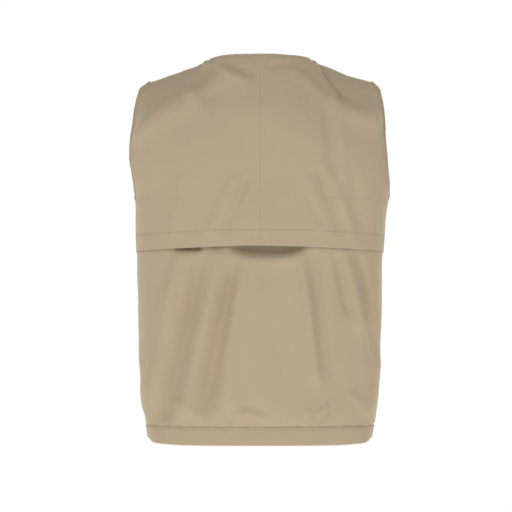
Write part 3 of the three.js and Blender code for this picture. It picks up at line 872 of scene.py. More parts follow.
@dataclass
class Patch:
    """A cut piece of cloth, laid by a place function over shares across and along it.

    Attributes:
        name: The piece's name.
        place: Where a share across, a share along and a distance off land, in millimetres.
        width: Its size across.
        length: Its size along.
        slot: What it is made of.
        ride: What carries it.
        thick: The cloth's thickness.
        step: The grid's usual spacing.
        across_seams: Stitched lines that run along, as distances across.
        along_seams: Stitched lines that run across, as distances along.
        relief: Extra lift at a place and shares.
        seam_depth: How deep the stitched lines sink.
        pucker: How much the cloth gathers beside them.
        stands_for: The CAD nodes that it replaces.
        held: How the cloth is held; not used.
        stitch: The stitches' pitch, or 0 for none.
        cut: Its width before it was folded, or 0 where that is its width.
        shade: Painted shade over the whole piece, from 0 to 1.
    """

    name: str
    place: Place
    width: float
    length: float
    slot: Slot
    ride: Ride
    thick: float = 0.9
    step: float = 5.0
    across_seams: tuple[float, ...] = ()
    along_seams: tuple[float, ...] = ()
    relief: Relief | None = None
    seam_depth: float = 0.3
    pucker: float = 0.3
    stands_for: tuple[str, ...] = ()
    held: str = "hung"
    stitch: float = 3.4
    cut: float = 0.0
    shade: float = 0.0

    def _spot(self, across: float, along: float, off: float) -> Vector:
        """A place on the cloth, let out to the garment's girth."""
        return FORM.widen(self.place(across, along, off))

    def _gaps(self, across: float, along: float) -> list[float]:
        """Distances from a spot to each stitched line, in millimetres.

        Args:
            across: Share of the width.
            along: Share of the length.

        Returns:
            One distance for each line.
        """
        runs = (
            (across, self.width, self.across_seams),
            (along, self.length, self.along_seams),
        )
        return [
            abs(share * size - from_start(line, size))
            for share, size, lines in runs
            for line in lines
        ]

    def _lift(self, across: float, along: float) -> float:
        """The whole relief at a spot.

        Args:
            across: Share of the width.
            along: Share of the length.

        Returns:
            The lift in millimetres.
        """
        at = self._spot(across, along, 0.0)
        lift = self.relief(at, across, along) if self.relief else 0.0
        for gap in self._gaps(across, along):
            gather = noise.noise(Vector((at.x / 7, at.y / 7, at.z / 7))) * bell(gap, 11)
            lift += self.pucker * gather * 2 - self.seam_depth * bell(gap, 1.1)
            lift += self.seam_depth * 0.45 * bell(gap - 3.4, 2.6)
        return lift

    def _stitches(self) -> bpy.types.Object | None:
        """Lays threads along the stitched lines.

        Returns:
            The threads' object, or None if there are none.
        """
        if not self.stitch or not (self.across_seams or self.along_seams):
            return None
        thread = bmesh.new()
        runs = [(line, True) for line in self.across_seams]
        runs += [(line, False) for line in self.along_seams]
        for line, lengthwise in runs:
            size = self.width if lengthwise else self.length
            share = from_start(line, size) / size
            total = self.length if lengthwise else self.width
            count = int(total / self.stitch)
            for i in range(count):
                ends = [(i + part) / count for part in (0.14, 0.86)]
                spots = [(share, end) if lengthwise else (end, share) for end in ends]
                a, b = (self._spot(*spot, self._lift(*spot) + 0.1) for spot in spots)
                run = b - a
                if run.length < 0.3:
                    continue
                turn = run.to_track_quat("Z", "Y").to_matrix().to_4x4()
                matrix = Matrix.Translation((a + b) / 2) @ turn
                size_of = {"segments": 5, "radius1": 0.3, "radius2": 0.3, "depth": run.length}
                bmesh.ops.create_cone(thread, cap_ends=True, matrix=matrix, **size_of)
        return piece_from(thread, f"{self.name}_stitching", Slot.THREAD)

    def _grid(self) -> bmesh.types.BMesh:
        """Lays the cloth's grid, with its UV map in metres, its wear, and its painted shade along the
        sunken seams and over doubled bands.

        Returns:
            The cloth's outer side, facing out.
        """
        us = stops(self.width, self.step, self.across_seams)
        vs = stops(self.length, self.step, self.along_seams)
        cells = (len(us) - 1, len(vs) - 1)
        mesh = bmesh.new()
        bmesh.ops.create_grid(mesh, x_segments=cells[0], y_segments=cells[1], size=0.5)
        uv = mesh.loops.layers.uv.new("UVMap")
        wear = mesh.verts.layers.float.new("wear")
        # Painted shade along the seams and over doubled pieces, from 0 to 1.
        groove = mesh.verts.layers.float.new("groove")
        middle = min(mesh.faces, key=lambda face: face.calc_center_median().length)
        shares = {}
        for vert in mesh.verts:
            i = round((vert.co.x + 0.5) * cells[0])
            j = round((vert.co.y + 0.5) * cells[1])
            shares[vert] = (us[i], vs[j])
        for face in mesh.faces:
            for loop in face.loops:
                u, v = shares[loop.vert]
                loop[uv].uv = (u * self.width * MM, v * self.length * MM)
        for vert, (u, v) in shares.items():
            rim = min(u * self.width, (1 - u) * self.width, v * self.length, (1 - v) * self.length)
            vert[wear] = bell(rim, 1.6)
            # Painted shade: the piece's own shade, plus darkening where each seam sinks.
            vert[groove] = min(1.0, self.shade + sum(bell(gap, 1.2) for gap in self._gaps(u, v)))
            vert.co = self._spot(u, v, self._lift(u, v))
        mesh.normal_update()
        out = self.place(0.5, 0.5, 1.0) - self.place(0.5, 0.5, 0.0)
        if middle.normal.dot(out) < 0:
            bmesh.ops.reverse_faces(mesh, faces=mesh.faces)
        return mesh

    def build(self) -> list[bpy.types.Object]:
        """Makes the cloth and its stitches, and hands both to their ride.

        Returns:
            The cloth, then its stitches where it has any.
        """
        piece = piece_from(self._grid(), f"{self.name}_cloth", self.slot)
        self.ride.carry(piece)
        wall = piece.modifiers.new("thickness", "SOLIDIFY")
        wall.thickness, wall.offset, wall.use_even_offset = self.thick * MM, -1, False
        if self.stands_for:
            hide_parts(*self.stands_for)
        threads = self._stitches()
        if threads:
            self.ride.carry(threads)
        cut = self.cut or self.width
        if cut >= NARROWEST:
            cut * MM
        return [piece, threads] if threads else [piece]


def mirrored(place: Place) -> Place:
    """The same place function on the other side of the body.

    Args:
        place: The place function of the left side.

    Returns:
        The place function of the right side.
    """

    def other(across: float, along: float, off: float) -> Vector:
        """The mirrored place."""
        at = place(across, along, off)
        return Vector((-at.x, at.y, at.z))

    return other


def on_side(place: Place, side: Side) -> Place:
    """A left-side place function on the side asked for."""
    return place if side is Side.LEFT else mirrored(place)


# ---- back ------------------------------------------------------------------------------------


@dataclass(frozen=True)
class Hem:
    """What the hem bands of the back and of the fronts share."""

    hem: float = 30
    corner_half: float = 171
    corner_radius: float = 14
    corner_rise: float = 7
    bow: float = 2.2
    bow_half: float = 118

    def corner(self, x: float) -> float:
        """How far the hem's lower edge curves up towards the side seam.

        Args:
            x: Distance from the centre in millimetres.

        Returns:
            The rise in millimetres.
        """
        out = clamp01((abs(x) - self.corner_half) / self.corner_radius)
        lift = self.bow * smooth((abs(x) - self.bow_half) / 80)
        return lift + self.corner_rise * (1 - math.sqrt(1 - out * out))


@dataclass(frozen=True)
class Back(Hem):
    """The back: cape, lower back, mesh, neck band, armhole bindings and hem band."""

    cloth_off: float = 5.5
    cape_edge_z: float = 315
    cape_rise: float = 13
    cape_top_z: float = 430
    cape_stand: float = 13
    bind: float = 6.5
    neck_band: float = 26

    def _side_edge(self, height: float) -> float:
        """The cape cloth's edge beside the armhole binding or the side seam."""
        tuck = self.bind * 0.7 * smooth(height / 0.08) + 0.4
        return FORM.scye(height, FORM.back_scye) + tuck / FORM.chest_half

    def _lie(self, angle: float, height: float) -> float:
        """How far the cape's cloth lies off the form, less beside the side and shoulder seams.

        Args:
            angle: Angle round the body in radians, from the left side seam; fronts are below zero.
            height: Height on the form: -1 at its foot, 0 at the chest, 1 at the top edge.

        Returns:
            The distance in millimetres.
        """
        lie = mix(3.0, self.cloth_off, smooth(angle / 0.35))
        seam = smooth((height - 0.88) / 0.12)
        seam *= 1 - smooth((min(angle, math.pi - angle) - FORM.neck_angle) / 0.25)
        return mix(lie, 2.1, seam)

    def _neck_share(self, angle: float) -> float:
        """How far down the neck band reaches, as a share of height.

        Args:
            angle: Angle round the body in radians, from the left side seam; fronts are below zero.

        Returns:
            The share.
        """
        turn = clamp01((angle - FORM.neck_angle) / (QUARTER_TURN - FORM.neck_angle)) * QUARTER_TURN
        if angle < FORM.neck_angle:
            return 0.0
        return mix(0.0, self.neck_band, math.sin(turn) ** 0.8) / (FORM.neck_back_z - FORM.chest_z)

    def _edge_z(self, angle: float) -> float:
        """The cape's lower edge."""
        return self.cape_edge_z + self.cape_rise * math.sin(min(angle, QUARTER_TURN))

    def _stand(self, x: float, angle: float, z: float) -> float:
        """How far the cape hangs off the lower back.

        Args:
            x: Distance from the centre in millimetres.
            angle: Angle round the body in radians, from the left side seam; fronts are below zero.
            z: Height in millimetres.

        Returns:
            The distance in millimetres.
        """
        up = clamp01((z - self._edge_z(angle)) / (self.cape_top_z - self._edge_z(angle)))
        billow = 0.5 + 0.65 * bell(x + 12, 46) + 0.6 * bell(x - 119, 18) - 0.3 * bell(x - 72, 16)
        billow += -0.3 * bell(x + 92, 18) + 0.25 * bell(x + 140, 16)
        return self.cape_stand * billow * math.sin(angle) ** 2.2 * (1 - up) ** 1.2

    def _cape(self, side: Side) -> list[bpy.types.Object]:
        """The upper back's outer cloth on one side, down to the cape's hemmed edge.

        Args:
            side: The side it is for.

        Returns:
            The piece and, where it has them, its stitches.
        """

        def place(across: float, along: float, off: float) -> Vector:
            """From the armhole to the centre back, and from the lower edge to the neck.

            Args:
                across: Share of the width.
                along: Share of the length.
                off: Distance out of the cloth in millimetres.

            Returns:
                The place in millimetres.
            """
            guess = mix(0.08, QUARTER_TURN, across)
            top = FORM.chest_z + (FORM.top(guess).z - FORM.chest_z) * (1 - self._neck_share(guess))
            height = FORM.height(guess, mix(self._edge_z(guess), top, along))
            angle = mix(self._side_edge(height), QUARTER_TURN - 0.00005, across)
            lie = self._lie(angle, height)
            at = FORM.at(angle, height, lie)
            stand = self._stand(at.x * side.value, angle, at.z)
            return FORM.at(angle, height, lie + stand + off)

        def relief(at: Vector, across: float, along: float) -> float:
            """Folds, and the centre seam's and hem's thickness.

            Args:
                at: The spot in millimetres.
                across: Share of the width.
                along: Share of the length.

            Returns:
                The lift in millimetres.
            """
            fade = (smooth(along * 12) * 0.6 + 0.4) * mix(0.1, 1.0, smooth(across * 11))
            seam = 0.5 * bell((1 - across) * 288, 6) - 0.6 * bell((1 - across) * 288, 1.0)
            return folds_at(at, CAPE_FOLDS) * 1.7 * fade + wrinkle(at, 1.1) + seam

        return Patch(
            name=f"back_cape_{side.word}",
            place=on_side(place, side),
            width=288,
            length=318,
            slot=Slot.SHELL,
            ride=Ride("back", "cape", (0, 0.13, 0.455), (0, 0.13, 0.395)),
            across_seams=(7.0,),
            along_seams=(29.0,),
            relief=relief,
            stands_for=(f"back_yoke_{side.word}", f"cape_{side.word}"),
        ).build()

    def _lower(self) -> list[bpy.types.Object]:
        """The lower back, from the hem band to the mesh's lower edge.

        Returns:
            The piece and, where it has them, its stitches.
        """

        def place(across: float, along: float, off: float) -> Vector:
            """From the left side seam round to the right.

            Args:
                across: Share of the width.
                along: Share of the length.
                off: Distance out of the cloth in millimetres.

            Returns:
                The place in millimetres.
            """
            angle = mix(0.0008, math.pi - 0.0008, across)
            side = min(angle, math.pi - angle)
            top = FORM.height(side, 428)
            if side < FORM.back_scye:
                share = max(0.0, side / FORM.back_scye) ** (1 / FORM.scye_power)
                top = min(top, math.asin(min(1.0, share)) / math.pi)
            low = FORM.height(angle, self.hem - 4)
            height = mix(low, top, along)
            z = FORM.chest_z * (1 + min(0.0, height))
            tuck = 1.6 * (1 - smooth((z - self.hem + 2) / 6))
            blouse = 2.6 * bell(z - 58, 26) * smooth((z - self.hem) / 8)
            return FORM.at(angle, height, 2 - tuck + blouse + off)

        def relief(at: Vector, across: float, along: float) -> float:
            """Folds that hang from under the cape, and the hem's gathers.

            Args:
                at: The spot in millimetres.
                across: Share of the width.
                along: Share of the length.

            Returns:
                The lift in millimetres.
            """
            gather = math.sin(at.x / 3.1 + 2 * noise.noise(at / 30)) * bell(at.z - 36, 16)
            flat = smooth((1 - along) * 3.2 - 0.55)
            eye = smooth(1.25 - ((at.x + 12) / 62) ** 2) + 0.8 * smooth(1.2 - ((at.x - 118) / 24) ** 2)
            eye += 0.35 * bell(at.x - 72, 18)
            brim = 308 + 7 * clamp01(((at.x + 12) / 62) ** 2)
            lip = 2.6 * bell(at.z - brim + 7, 9) - 13.0 * smooth((at.z - brim) / 9)
            edge = smooth((at.z - 31) / 10)
            lift = folds_at(at, LOWER_FOLDS) * 1.9 + wrinkle(at, 1.3)
            return lift * flat * edge + gather * 0.4 + eye * lip

        return Patch(
            name="back_lower",
            place=place,
            width=556,
            length=398,
            slot=Slot.SHELL,
            ride=Ride("back"),
            relief=relief,
            stands_for=("back_lower",),
        ).build()

    def _hem_band(self) -> list[bpy.types.Object]:
        """The doubled band along the back's lower edge.

        Returns:
            The piece and, where it has them, its stitches.
        """

        def place(across: float, along: float, off: float) -> Vector:
            """From the left side seam round to the right.

            Args:
                across: Share of the width.
                along: Share of the length.
                off: Distance out of the cloth in millimetres.

            Returns:
                The place in millimetres.
            """
            angle = mix(0.0008, math.pi - 0.0008, across)
            z = max(0.0, self.hem * along - 0.15)
            lean = 3.4 * (1 - along) ** 1.3 * math.sin(angle) ** 0.5
            at = FORM.at(angle, FORM.height(angle, z), 2.4 - lean + off)
            return Vector((at.x, at.y, z + self.corner(at.x) * (1 - along)))

        def relief(at: Vector, across: float, along: float) -> float:
            """Soft gathers, and the fold at the lower edge.

            Args:
                at: The spot in millimetres.
                across: Share of the width.
                along: Share of the length.

            Returns:
                The lift in millimetres.
            """
            gather = math.sin(at.x / 3.4 + 2.4 * noise.noise(at / 24))
            fold = 1.2 * (1 - math.sqrt(max(0.0, 1 - (1 - clamp01(along * 12)) ** 2)))
            lean = folds_at(at, LOWER_FOLDS) * 0.3
            return 0.35 * gather * along + wrinkle(at, 0.6) + lean - fold

        return Patch(
            name="hem_band_back",
            place=place,
            width=548,
            length=self.hem,
            slot=Slot.SHELL,
            ride=Ride("back"),
            thick=2.4,
            along_seams=(-2.4,),
            # Painted shade darkens the whole band.
            shade=0.55,
            relief=relief,
            stands_for=("hem_band_back",),
        ).build()

    def _mesh(self) -> list[bpy.types.Object]:
        """The knit lining of the upper back.

        Returns:
            The piece and, where it has them, its stitches.
        """

        def place(across: float, along: float, off: float) -> Vector:
            """From one armhole round to the other, inside the cape's cloth.

            Args:
                across: Share of the width.
                along: Share of the length.
                off: Distance out of the cloth in millimetres.

            Returns:
                The place in millimetres.
            """
            guess = mix(0.25, math.pi - 0.25, across)
            side = min(guess, math.pi - guess)
            height = mix(FORM.height(side, 433), 0.985 - self._neck_share(side) * 0.8, along)
            edge = FORM.scye(height, FORM.back_scye) + self.bind / FORM.chest_half
            return FORM.at(mix(edge, math.pi - edge, across), height, 1.1 + off)

        return Patch(
            name="back_mesh",
            place=place,
            width=520,
            length=208,
            slot=Slot.MESH,
            ride=Ride("back"),
            thick=0.6,
            step=8,
            relief=lambda at, across, along: wrinkle(at, 0.4),
            stands_for=("back_mesh",),
        ).build()

    def _neck_band(self) -> list[bpy.types.Object]:
        """The crescent band that stands at the back neck.

        Returns:
            The piece and, where it has them, its stitches.
        """

        def place(across: float, along: float, off: float) -> Vector:
            """From the left shoulder seam round the back neck to the right.

            Args:
                across: Share of the width.
                along: Share of the length.
                off: Distance out of the cloth in millimetres.

            Returns:
                The place in millimetres.
            """
            angle = mix(FORM.neck_angle * 0.99, math.pi - FORM.neck_angle * 0.99, across)
            side = min(angle, math.pi - angle)
            least = 2.5 / (FORM.neck_back_z - FORM.chest_z)
            low = 1 - max(least, self._neck_share(side)) + 0.001
            lie = mix(2.6, self.cloth_off + 0.4, smooth((side - FORM.neck_angle) / 0.25))
            return FORM.at(angle, mix(low, 1.0, along), lie + off)

        def relief(at: Vector, across: float, along: float) -> float:
            """Soft creases and the fold at the top edge."""
            fold = 1.4 * (1 - math.sqrt(max(0.0, 1 - (1 - clamp01((1 - along) * 8)) ** 2)))
            return folds_at(at, CAPE_FOLDS) * 1.4 + wrinkle(at, 1.0) - fold

        return Patch(
            name="neck_band",
            place=place,
            width=236,
            length=self.neck_band,
            slot=Slot.SHELL,
            ride=Ride("back"),
            thick=2.2,
            step=4,
            along_seams=(-5.0,),
            relief=relief,
            stands_for=("neck_band",),
        ).build()

    def _binding(self, side: Side) -> list[bpy.types.Object]:
        """The folded binding along the back of an armhole.

        Args:
            side: The side it is for.

        Returns:
            The piece and, where it has them, its stitches.
        """

        def place(across: float, along: float, off: float) -> Vector:
            """Up the armhole from the underarm to the shoulder seam.

            Args:
                across: Share of the width.
                along: Share of the length.
                off: Distance out of the cloth in millimetres.

            Returns:
                The place in millimetres.
            """
            height = mix(0.004, 1.0, along)
            edge = FORM.scye(height, FORM.back_scye) + self.bind * across / FORM.chest_half
            crown = 1.5 * math.sin(math.pi * clamp01(across)) ** 0.7
            lie = min(self._lie(edge, height) - 0.3, mix(2.6, 9, smooth(height / 0.1)))
            return FORM.at(edge, height, lie + crown + off)

        return Patch(
            name=f"armhole_binding_{side.word}",
            place=on_side(place, side),
            width=self.bind,
            cut=10.2,
            length=215,
            slot=Slot.TRIM,
            ride=Ride("back"),
            thick=2.0,
            step=2.2,
            across_seams=(-1.2,),
            seam_depth=0.35,
            relief=lambda at, across, along: wrinkle(at, 0.3),
            stands_for=(f"armhole_binding_{side.word}",),
        ).build()

    def build(self) -> list[bpy.types.Object]:
        """Makes every piece of the back.

        Returns:
            The pieces.
        """
        pieces = []
        for side in Side:
            pieces += self._cape(side) + self._binding(side)
        return pieces + self._lower() + self._hem_band() + self._mesh() + self._neck_band()


# ---- front -----------------------------------------------------------------------------------


@dataclass(frozen=True)
class Front(Hem):
    """One front: shell cloth, hem band, facing and armhole binding."""

    side: Side = Side.LEFT
    bind: float = 6.5
    facing: float = 14
    split_low: float = 440
    split_high: float = 560

    @property
    def bend(self) -> Ride:
        """The ride for cloth from the shoulder down past the split; the cloth is baked in place and
        does not open.
        """
        far = f"front_{self.side.word}"
        return Ride("back", far, (0, 0, self.split_high * MM), (0, 0, self.split_low * MM))

    def _panel(self) -> list[bpy.types.Object]:
        """The front's shell cloth from the hem band to the shoulder seam.

        Returns:
            The piece and, where it has them, its stitches.
        """

        def place(across: float, along: float, off: float) -> Vector:
            """From the armhole or side seam to the zip's edge.

            Args:
                across: Share of the width.
                along: Share of the length.
                off: Distance out of the cloth in millimetres.

            Returns:
                The place in millimetres.
            """
            guess = -mix(0, FORM.front_edge, across)
            height = FORM.height(guess, mix(self.hem - 4, FORM.top(guess).z, along))
            side = FORM.scye(height, FORM.front_scye) if height > 0 else -0.005
            angle = FORM.front_edge * across + side * (1 - across) ** 3
            z = FORM.chest_z * (1 + min(0.0, height))
            tuck = 1.6 * (1 - smooth((z - self.hem + 2) / 6))
            tuck += 1.3 * (1 - smooth((angle + 0.005) / 0.014)) * (1 - smooth(height * 30))
            blouse = 1.8 * bell(z - 56, 22) * smooth((z - self.hem) / 8) * (1 - across)
            return FORM.at(-angle, height, 2 - tuck + blouse + off)

        def relief(at: Vector, across: float, along: float) -> float:
            """Soft folds, held flat beside the zip.

            Args:
                at: The spot in millimetres.
                across: Share of the width.
                along: Share of the length.

            Returns:
                The lift in millimetres.
            """
            flat = smooth((1 - across) * 9) * smooth(along * 14)
            lift = folds_at(Vector((abs(at.x), at.y, at.z)), FRONT_FOLDS)
            calm = 1 - 0.85 * bell(at.z - 268, 42) * smooth((180 - abs(at.x)) / 12)
            return (lift * 0.9 + wrinkle(at, 1.0)) * flat * calm

        word = self.side.word
        return Patch(
            name=f"front_{word}",
            place=on_side(place, self.side),
            width=292,
            length=610,
            slot=Slot.SHELL,
            ride=self.bend,
            across_seams=(-8.0,),
            along_seams=(-7.0,),
            relief=relief,
            stands_for=(f"front_panel_{word}", f"front_yoke_{word}"),
        ).build()

    def _hem_band(self) -> list[bpy.types.Object]:
        """The doubled band along the front's lower edge.

        Returns:
            The piece and, where it has them, its stitches.
        """

        def place(across: float, along: float, off: float) -> Vector:
            """From the side seam to the zip's edge.

            Args:
                across: Share of the width.
                along: Share of the length.
                off: Distance out of the cloth in millimetres.

            Returns:
                The place in millimetres.
            """
            angle = -mix(-0.005, FORM.front_edge, across)
            tuck = 1.3 * (1 - smooth((0.005 - angle) / 0.014))
            z = max(0.0, self.hem * along - 0.15)
            at = FORM.at(angle, FORM.height(angle, z), 2.4 - tuck + off)
            return Vector((at.x, at.y, z + self.corner(at.x) * (1 - along)))

        word = self.side.word
        return Patch(
            name=f"hem_band_{word}",
            place=on_side(place, self.side),
            width=284,
            length=self.hem,
            slot=Slot.SHELL,
            ride=Ride(f"front_{word}"),
            thick=2.4,
            along_seams=(-2.4,),
            across_seams=(-8.0,),
            # Painted shade darkens the whole band.
            shade=0.55,
            relief=lambda at, across, along: wrinkle(at, 0.4),
            stands_for=(f"hem_band_{word}",),
        ).build()

    def _facing(self) -> list[bpy.types.Object]:
        """The binding along the V neckline.

        Returns:
            The piece and, where it has them, its stitches.
        """

        def place(across: float, along: float, off: float) -> Vector:
            """Up the neckline from the V's point to the shoulder.

            Args:
                across: Share of the width.
                along: Share of the length.
                off: Distance out of the cloth in millimetres.

            Returns:
                The place in millimetres.
            """
            height = mix(0.302, 1.0, along)
            wide = self.facing * mix(0.35, 1.0, smooth(along * 8)) / 150
            crown = 0.9 * math.sin(math.pi * clamp01(across)) ** 0.5
            return FORM.at(-(FORM.front_edge - wide * across), height, 2.6 + crown + off)

        word = self.side.word
        return Patch(
            name=f"neckline_facing_{word}",
            place=on_side(place, self.side),
            width=self.facing,
            length=205,
            slot=Slot.TRIM,
            ride=self.bend,
            thick=1.6,
            step=3,
            across_seams=(2.0, -2.0),
            seam_depth=0.4,
            relief=lambda at, across, along: wrinkle(at, 0.3),
            stands_for=(f"neckline_facing_{word}",),
        ).build()

    def _binding(self) -> list[bpy.types.Object]:
        """The folded binding along the front of the armhole.

        Returns:
            The piece and, where it has them, its stitches.
        """

        def place(across: float, along: float, off: float) -> Vector:
            """Up the armhole from the underarm to the shoulder seam.

            Args:
                across: Share of the width.
                along: Share of the length.
                off: Distance out of the cloth in millimetres.

            Returns:
                The place in millimetres.
            """
            height = mix(0.004, 1.0, along)
            reach = (self.bind * across - 0.8) / FORM.chest_half
            edge = max(0.0004, FORM.scye(height, FORM.front_scye) + reach)
            crown = 1.5 * math.sin(math.pi * clamp01(across)) ** 0.7
            return FORM.at(-edge, height, 2.4 + crown + off)

        word = self.side.word
        return Patch(
            name=f"front_armhole_binding_{word}",
            place=on_side(place, self.side),
            width=self.bind,
            cut=10.2,
            length=225,
            slot=Slot.TRIM,
            ride=self.bend,
            thick=2.0,
            step=2.2,
            across_seams=(-1.2,),
            seam_depth=0.35,
            relief=lambda at, across, along: wrinkle(at, 0.3),
            stands_for=(f"front_armhole_binding_{word}",),
        ).build()

    def build(self) -> list[bpy.types.Object]:
        """Makes every piece of this front."""
        return self._panel() + self._hem_band() + self._facing() + self._binding()


# ---- pockets ---------------------------------------------------------------------------------


def revolve(profile: Sequence[tuple[float, float]], steps: int = 32) -> bmesh.types.BMesh:
    """Spins a profile of radius and height about Z.

    Args:
        profile: Points from the axis out and back to the axis.
        steps: Steps round.

    Returns:
        The closed shape in millimetres.
    """
    mesh = bmesh.new()
    verts = [mesh.verts.new((radius, 0, height)) for radius, height in profile]
    edges = [mesh.edges.new(pair) for pair in zip(verts, verts[1:])]
    turn = {"axis": (0, 0, 1), "cent": (0, 0, 0), "angle": 2 * math.pi, "steps": steps}
    bmesh.ops.spin(mesh, geom=verts + edges, use_merge=True, use_duplicate=False, **turn)
    bmesh.ops.remove_doubles(mesh, verts=mesh.verts, dist=0.001)
    bmesh.ops.recalc_face_normals(mesh, faces=mesh.faces)
    return mesh


SNAP_CAP = (
    *((0, -3.2), (2.4, -3.2), (2.4, -4.4), (4.5, -4.4), (4.5, -2.6), (2, -2.4), (2, 0.2)),
    *((5.9, 0.2), (6.1, 0.5), (5.7, 1.0), (4.6, 1.3), (4.3, 1.15), (3.9, 1.5), (2, 2.0), (0, 2.1)),
)
SNAP_STUD = (
    *((0, -3.0), (4.5, -3.0), (4.5, -2.3), (2, -2.2), (2, 0.6), (4.4, 0.6), (4.5, 1.0)),
    *((3.0, 1.3), (1.9, 1.4), (1.7, 2.0), (1.85, 2.4), (0, 2.6)),
)


@dataclass
class Pocket:
    """A bellows pocket with a flap and a snap."""

    kind: str
    side: Side
    inner: float
    outer: float
    hinge: float
    height: float
    deep: float
    mouth: float
    flap: float
    drop: float = 16
    face_thick: float = 1.6
    flap_gap: float = 4.2
    flap_thick: float = 1.6
    reach: float = 5
    shoulder: float = 13

    @property
    def mouth_z(self) -> float:
        """The height of the pocket's mouth."""
        return self.hinge - self.drop

    @property
    def floor_z(self) -> float:
        """The height of the pocket's floor."""
        return self.mouth_z - self.height

    def _angle(self, x: float) -> float:
        """The form's angle of a distance from the centre front."""
        middle = self.hinge - self.height / 2
        return FORM.angle_at(x, middle)

    def _face_off(self, z: float) -> float:
        """How far the face stands off the form."""
        return mix(self.mouth, self.deep, clamp01((self.mouth_z - z) / self.height))

    def _flap_off(self, z: float) -> float:
        """How far the flap's inner side stands off the form.

        Args:
            z: Height in millimetres.

        Returns:
            The distance in millimetres.
        """
        out = clamp01((self.hinge - z) / self.shoulder)
        full = self._face_off(z) + self.face_thick + self.flap_gap
        return mix(3.0, full, math.sin(out * math.pi / 2))

    def _on(self, x: float, z: float, off: float) -> Vector:
        """A place on the left front, by distance from the centre, height and distance off.

        Args:
            x: Distance from the centre in millimetres.
            z: Height in millimetres.
            off: Distance out of the cloth in millimetres.

        Returns:
            The place in millimetres.
        """
        near, far = self._angle(self.inner), self._angle(self.outer)
        angle = mix(near, far, (x - self.inner) / (self.outer - self.inner))
        return FORM.at(angle, FORM.height(angle, z), off)

    def _face(self) -> list[bpy.types.Object]:
        """The pocket's outer cloth.

        Returns:
            The piece and, where it has them, its stitches.
        """

        def place(across: float, along: float, off: float) -> Vector:
            """From the inner edge to the outer, floor to mouth.

            Args:
                across: Share of the width.
                along: Share of the length.
                off: Distance out of the cloth in millimetres.

            Returns:
                The place in millimetres.
            """
            z = mix(self.floor_z, self.mouth_z, along)
            tuck = 1.2 * (1 - smooth(along * 10))
            x = mix(self.inner + tuck, self.outer - tuck, across)
            return self._on(x, z, self._face_off(z) + self.face_thick + off)

        def relief(at: Vector, across: float, along: float) -> float:
            """A soft fullness, with a hollow under the mouth."""
            full = (math.sin(math.pi * clamp01(across)) * math.sin(math.pi * clamp01(along))) ** 0.6
            return 1.6 * full * (1 - along) ** 0.4 + wrinkle(at, 0.7)

        word = self.side.word
        wide = self.outer - self.inner
        return Patch(
            name=f"{self.kind}_pocket_face_{word}",
            place=on_side(place, self.side),
            width=wide,
            length=self.height,
            slot=Slot.SHELL,
            ride=Ride(f"front_{word}"),
            thick=1.4,
            step=4,
            across_seams=(3.0, -3.0),
            along_seams=(3.0, -14.0),
            relief=relief,
            stands_for=(f"{self.kind}_pocket_face_{word}",),
            held="stretched",
        ).build()

    def _gusset(self) -> list[bpy.types.Object]:
        """The folded strip round the pocket's sides and floor.

        Returns:
            The piece and, where it has them, its stitches.
        """
        corner = 7.0
        down, flat = self.height - corner, self.outer - self.inner - 2 * corner
        bend = corner * math.pi / 2
        total = 2 * down + 2 * bend + flat

        def path(share: float) -> tuple[float, float, float, float]:
            """The strip's place and outward direction, from the outer mouth round to the inner.

            Args:
                share: Share of the strip's length.

            Returns:
                The place's x and z, and the direction's x and z.
            """
            run = share * total
            if run < down:
                return self.outer, self.mouth_z - run, 1.0, 0.0
            run -= down
            if run < bend:
                turn = run / corner
                nx, nz = math.cos(turn), -math.sin(turn)
                return self.outer - corner * (1 - nx), self.floor_z + corner * (1 + nz), nx, nz
            run -= bend
            if run < flat:
                return self.outer - corner - run, self.floor_z, 0.0, -1.0
            run -= flat
            if run < bend:
                turn = run / corner
                nx, nz = -math.sin(turn), -math.cos(turn)
                return self.inner + corner * (1 + nx), self.floor_z + corner * (1 + nz), nx, nz
            run -= bend
            return self.inner, self.floor_z + corner + run, -1.0, 0.0

        def place(across: float, along: float, off: float) -> Vector:
            """Round the strip, from the front's cloth out to the face.

            Args:
                across: Share of the width.
                along: Share of the length.
                off: Distance out of the cloth in millimetres.

            Returns:
                The place in millimetres.
            """
            x, z, nx, nz = path(along)
            pleat = -0.6 - 2.6 * math.sin(math.pi * across) + off
            depth = mix(2.6, self._face_off(z) + 0.8, across)
            return self._on(x + nx * pleat, min(z + nz * pleat, self.mouth_z), depth)

        word = self.side.word
        return Patch(
            name=f"{self.kind}_pocket_gusset_{word}",
            place=on_side(place, self.side),
            width=self.deep,
            length=total,
            slot=Slot.SHELL,
            ride=Ride(f"front_{word}"),
            thick=0.9,
            step=4,
            relief=lambda at, across, along: wrinkle(at, 0.4),
            stands_for=(f"{self.kind}_pocket_gusset_{word}",),
            held="folded",
        ).build()

    def _flap_piece(self) -> list[bpy.types.Object]:
        """The flap, with its corners cut off.

        Returns:
            The piece and, where it has them, its stitches.
        """
        wide = self.outer - self.inner + 2 * self.reach

        def place(across: float, along: float, off: float) -> Vector:
            """From the inner edge to the outer, and from the lower edge to the seam.

            Args:
                across: Share of the width.
                along: Share of the length.
                off: Distance out of the cloth in millimetres.

            Returns:
                The place in millimetres.
            """
            end = (abs(across - 0.5) * wide - (wide / 2 - 14)) / 14
            rise = 9 * clamp01(end)
            z = mix(self.hinge - self.flap + rise, self.hinge, along)
            x = mix(self.inner - self.reach, self.outer + self.reach, across)
            return self._on(x, z, self._flap_off(z) + self.flap_thick + off)

        word = self.side.word
        body = f"{self.kind}_flap_{word}"
        return Patch(
            name=f"{self.kind}_flap_{word}",
            place=on_side(place, self.side),
            width=wide,
            length=self.flap + 4,
            slot=Slot.SHELL,
            ride=Ride(body),
            thick=1.5,
            step=3.5,
            across_seams=(4.0, -4.0),
            along_seams=(4.0, -2.0),
            relief=lambda at, across, along: wrinkle(at, 0.55) * smooth((1 - along) * 5),
            stands_for=(body,),
            held="hung",
        ).build()

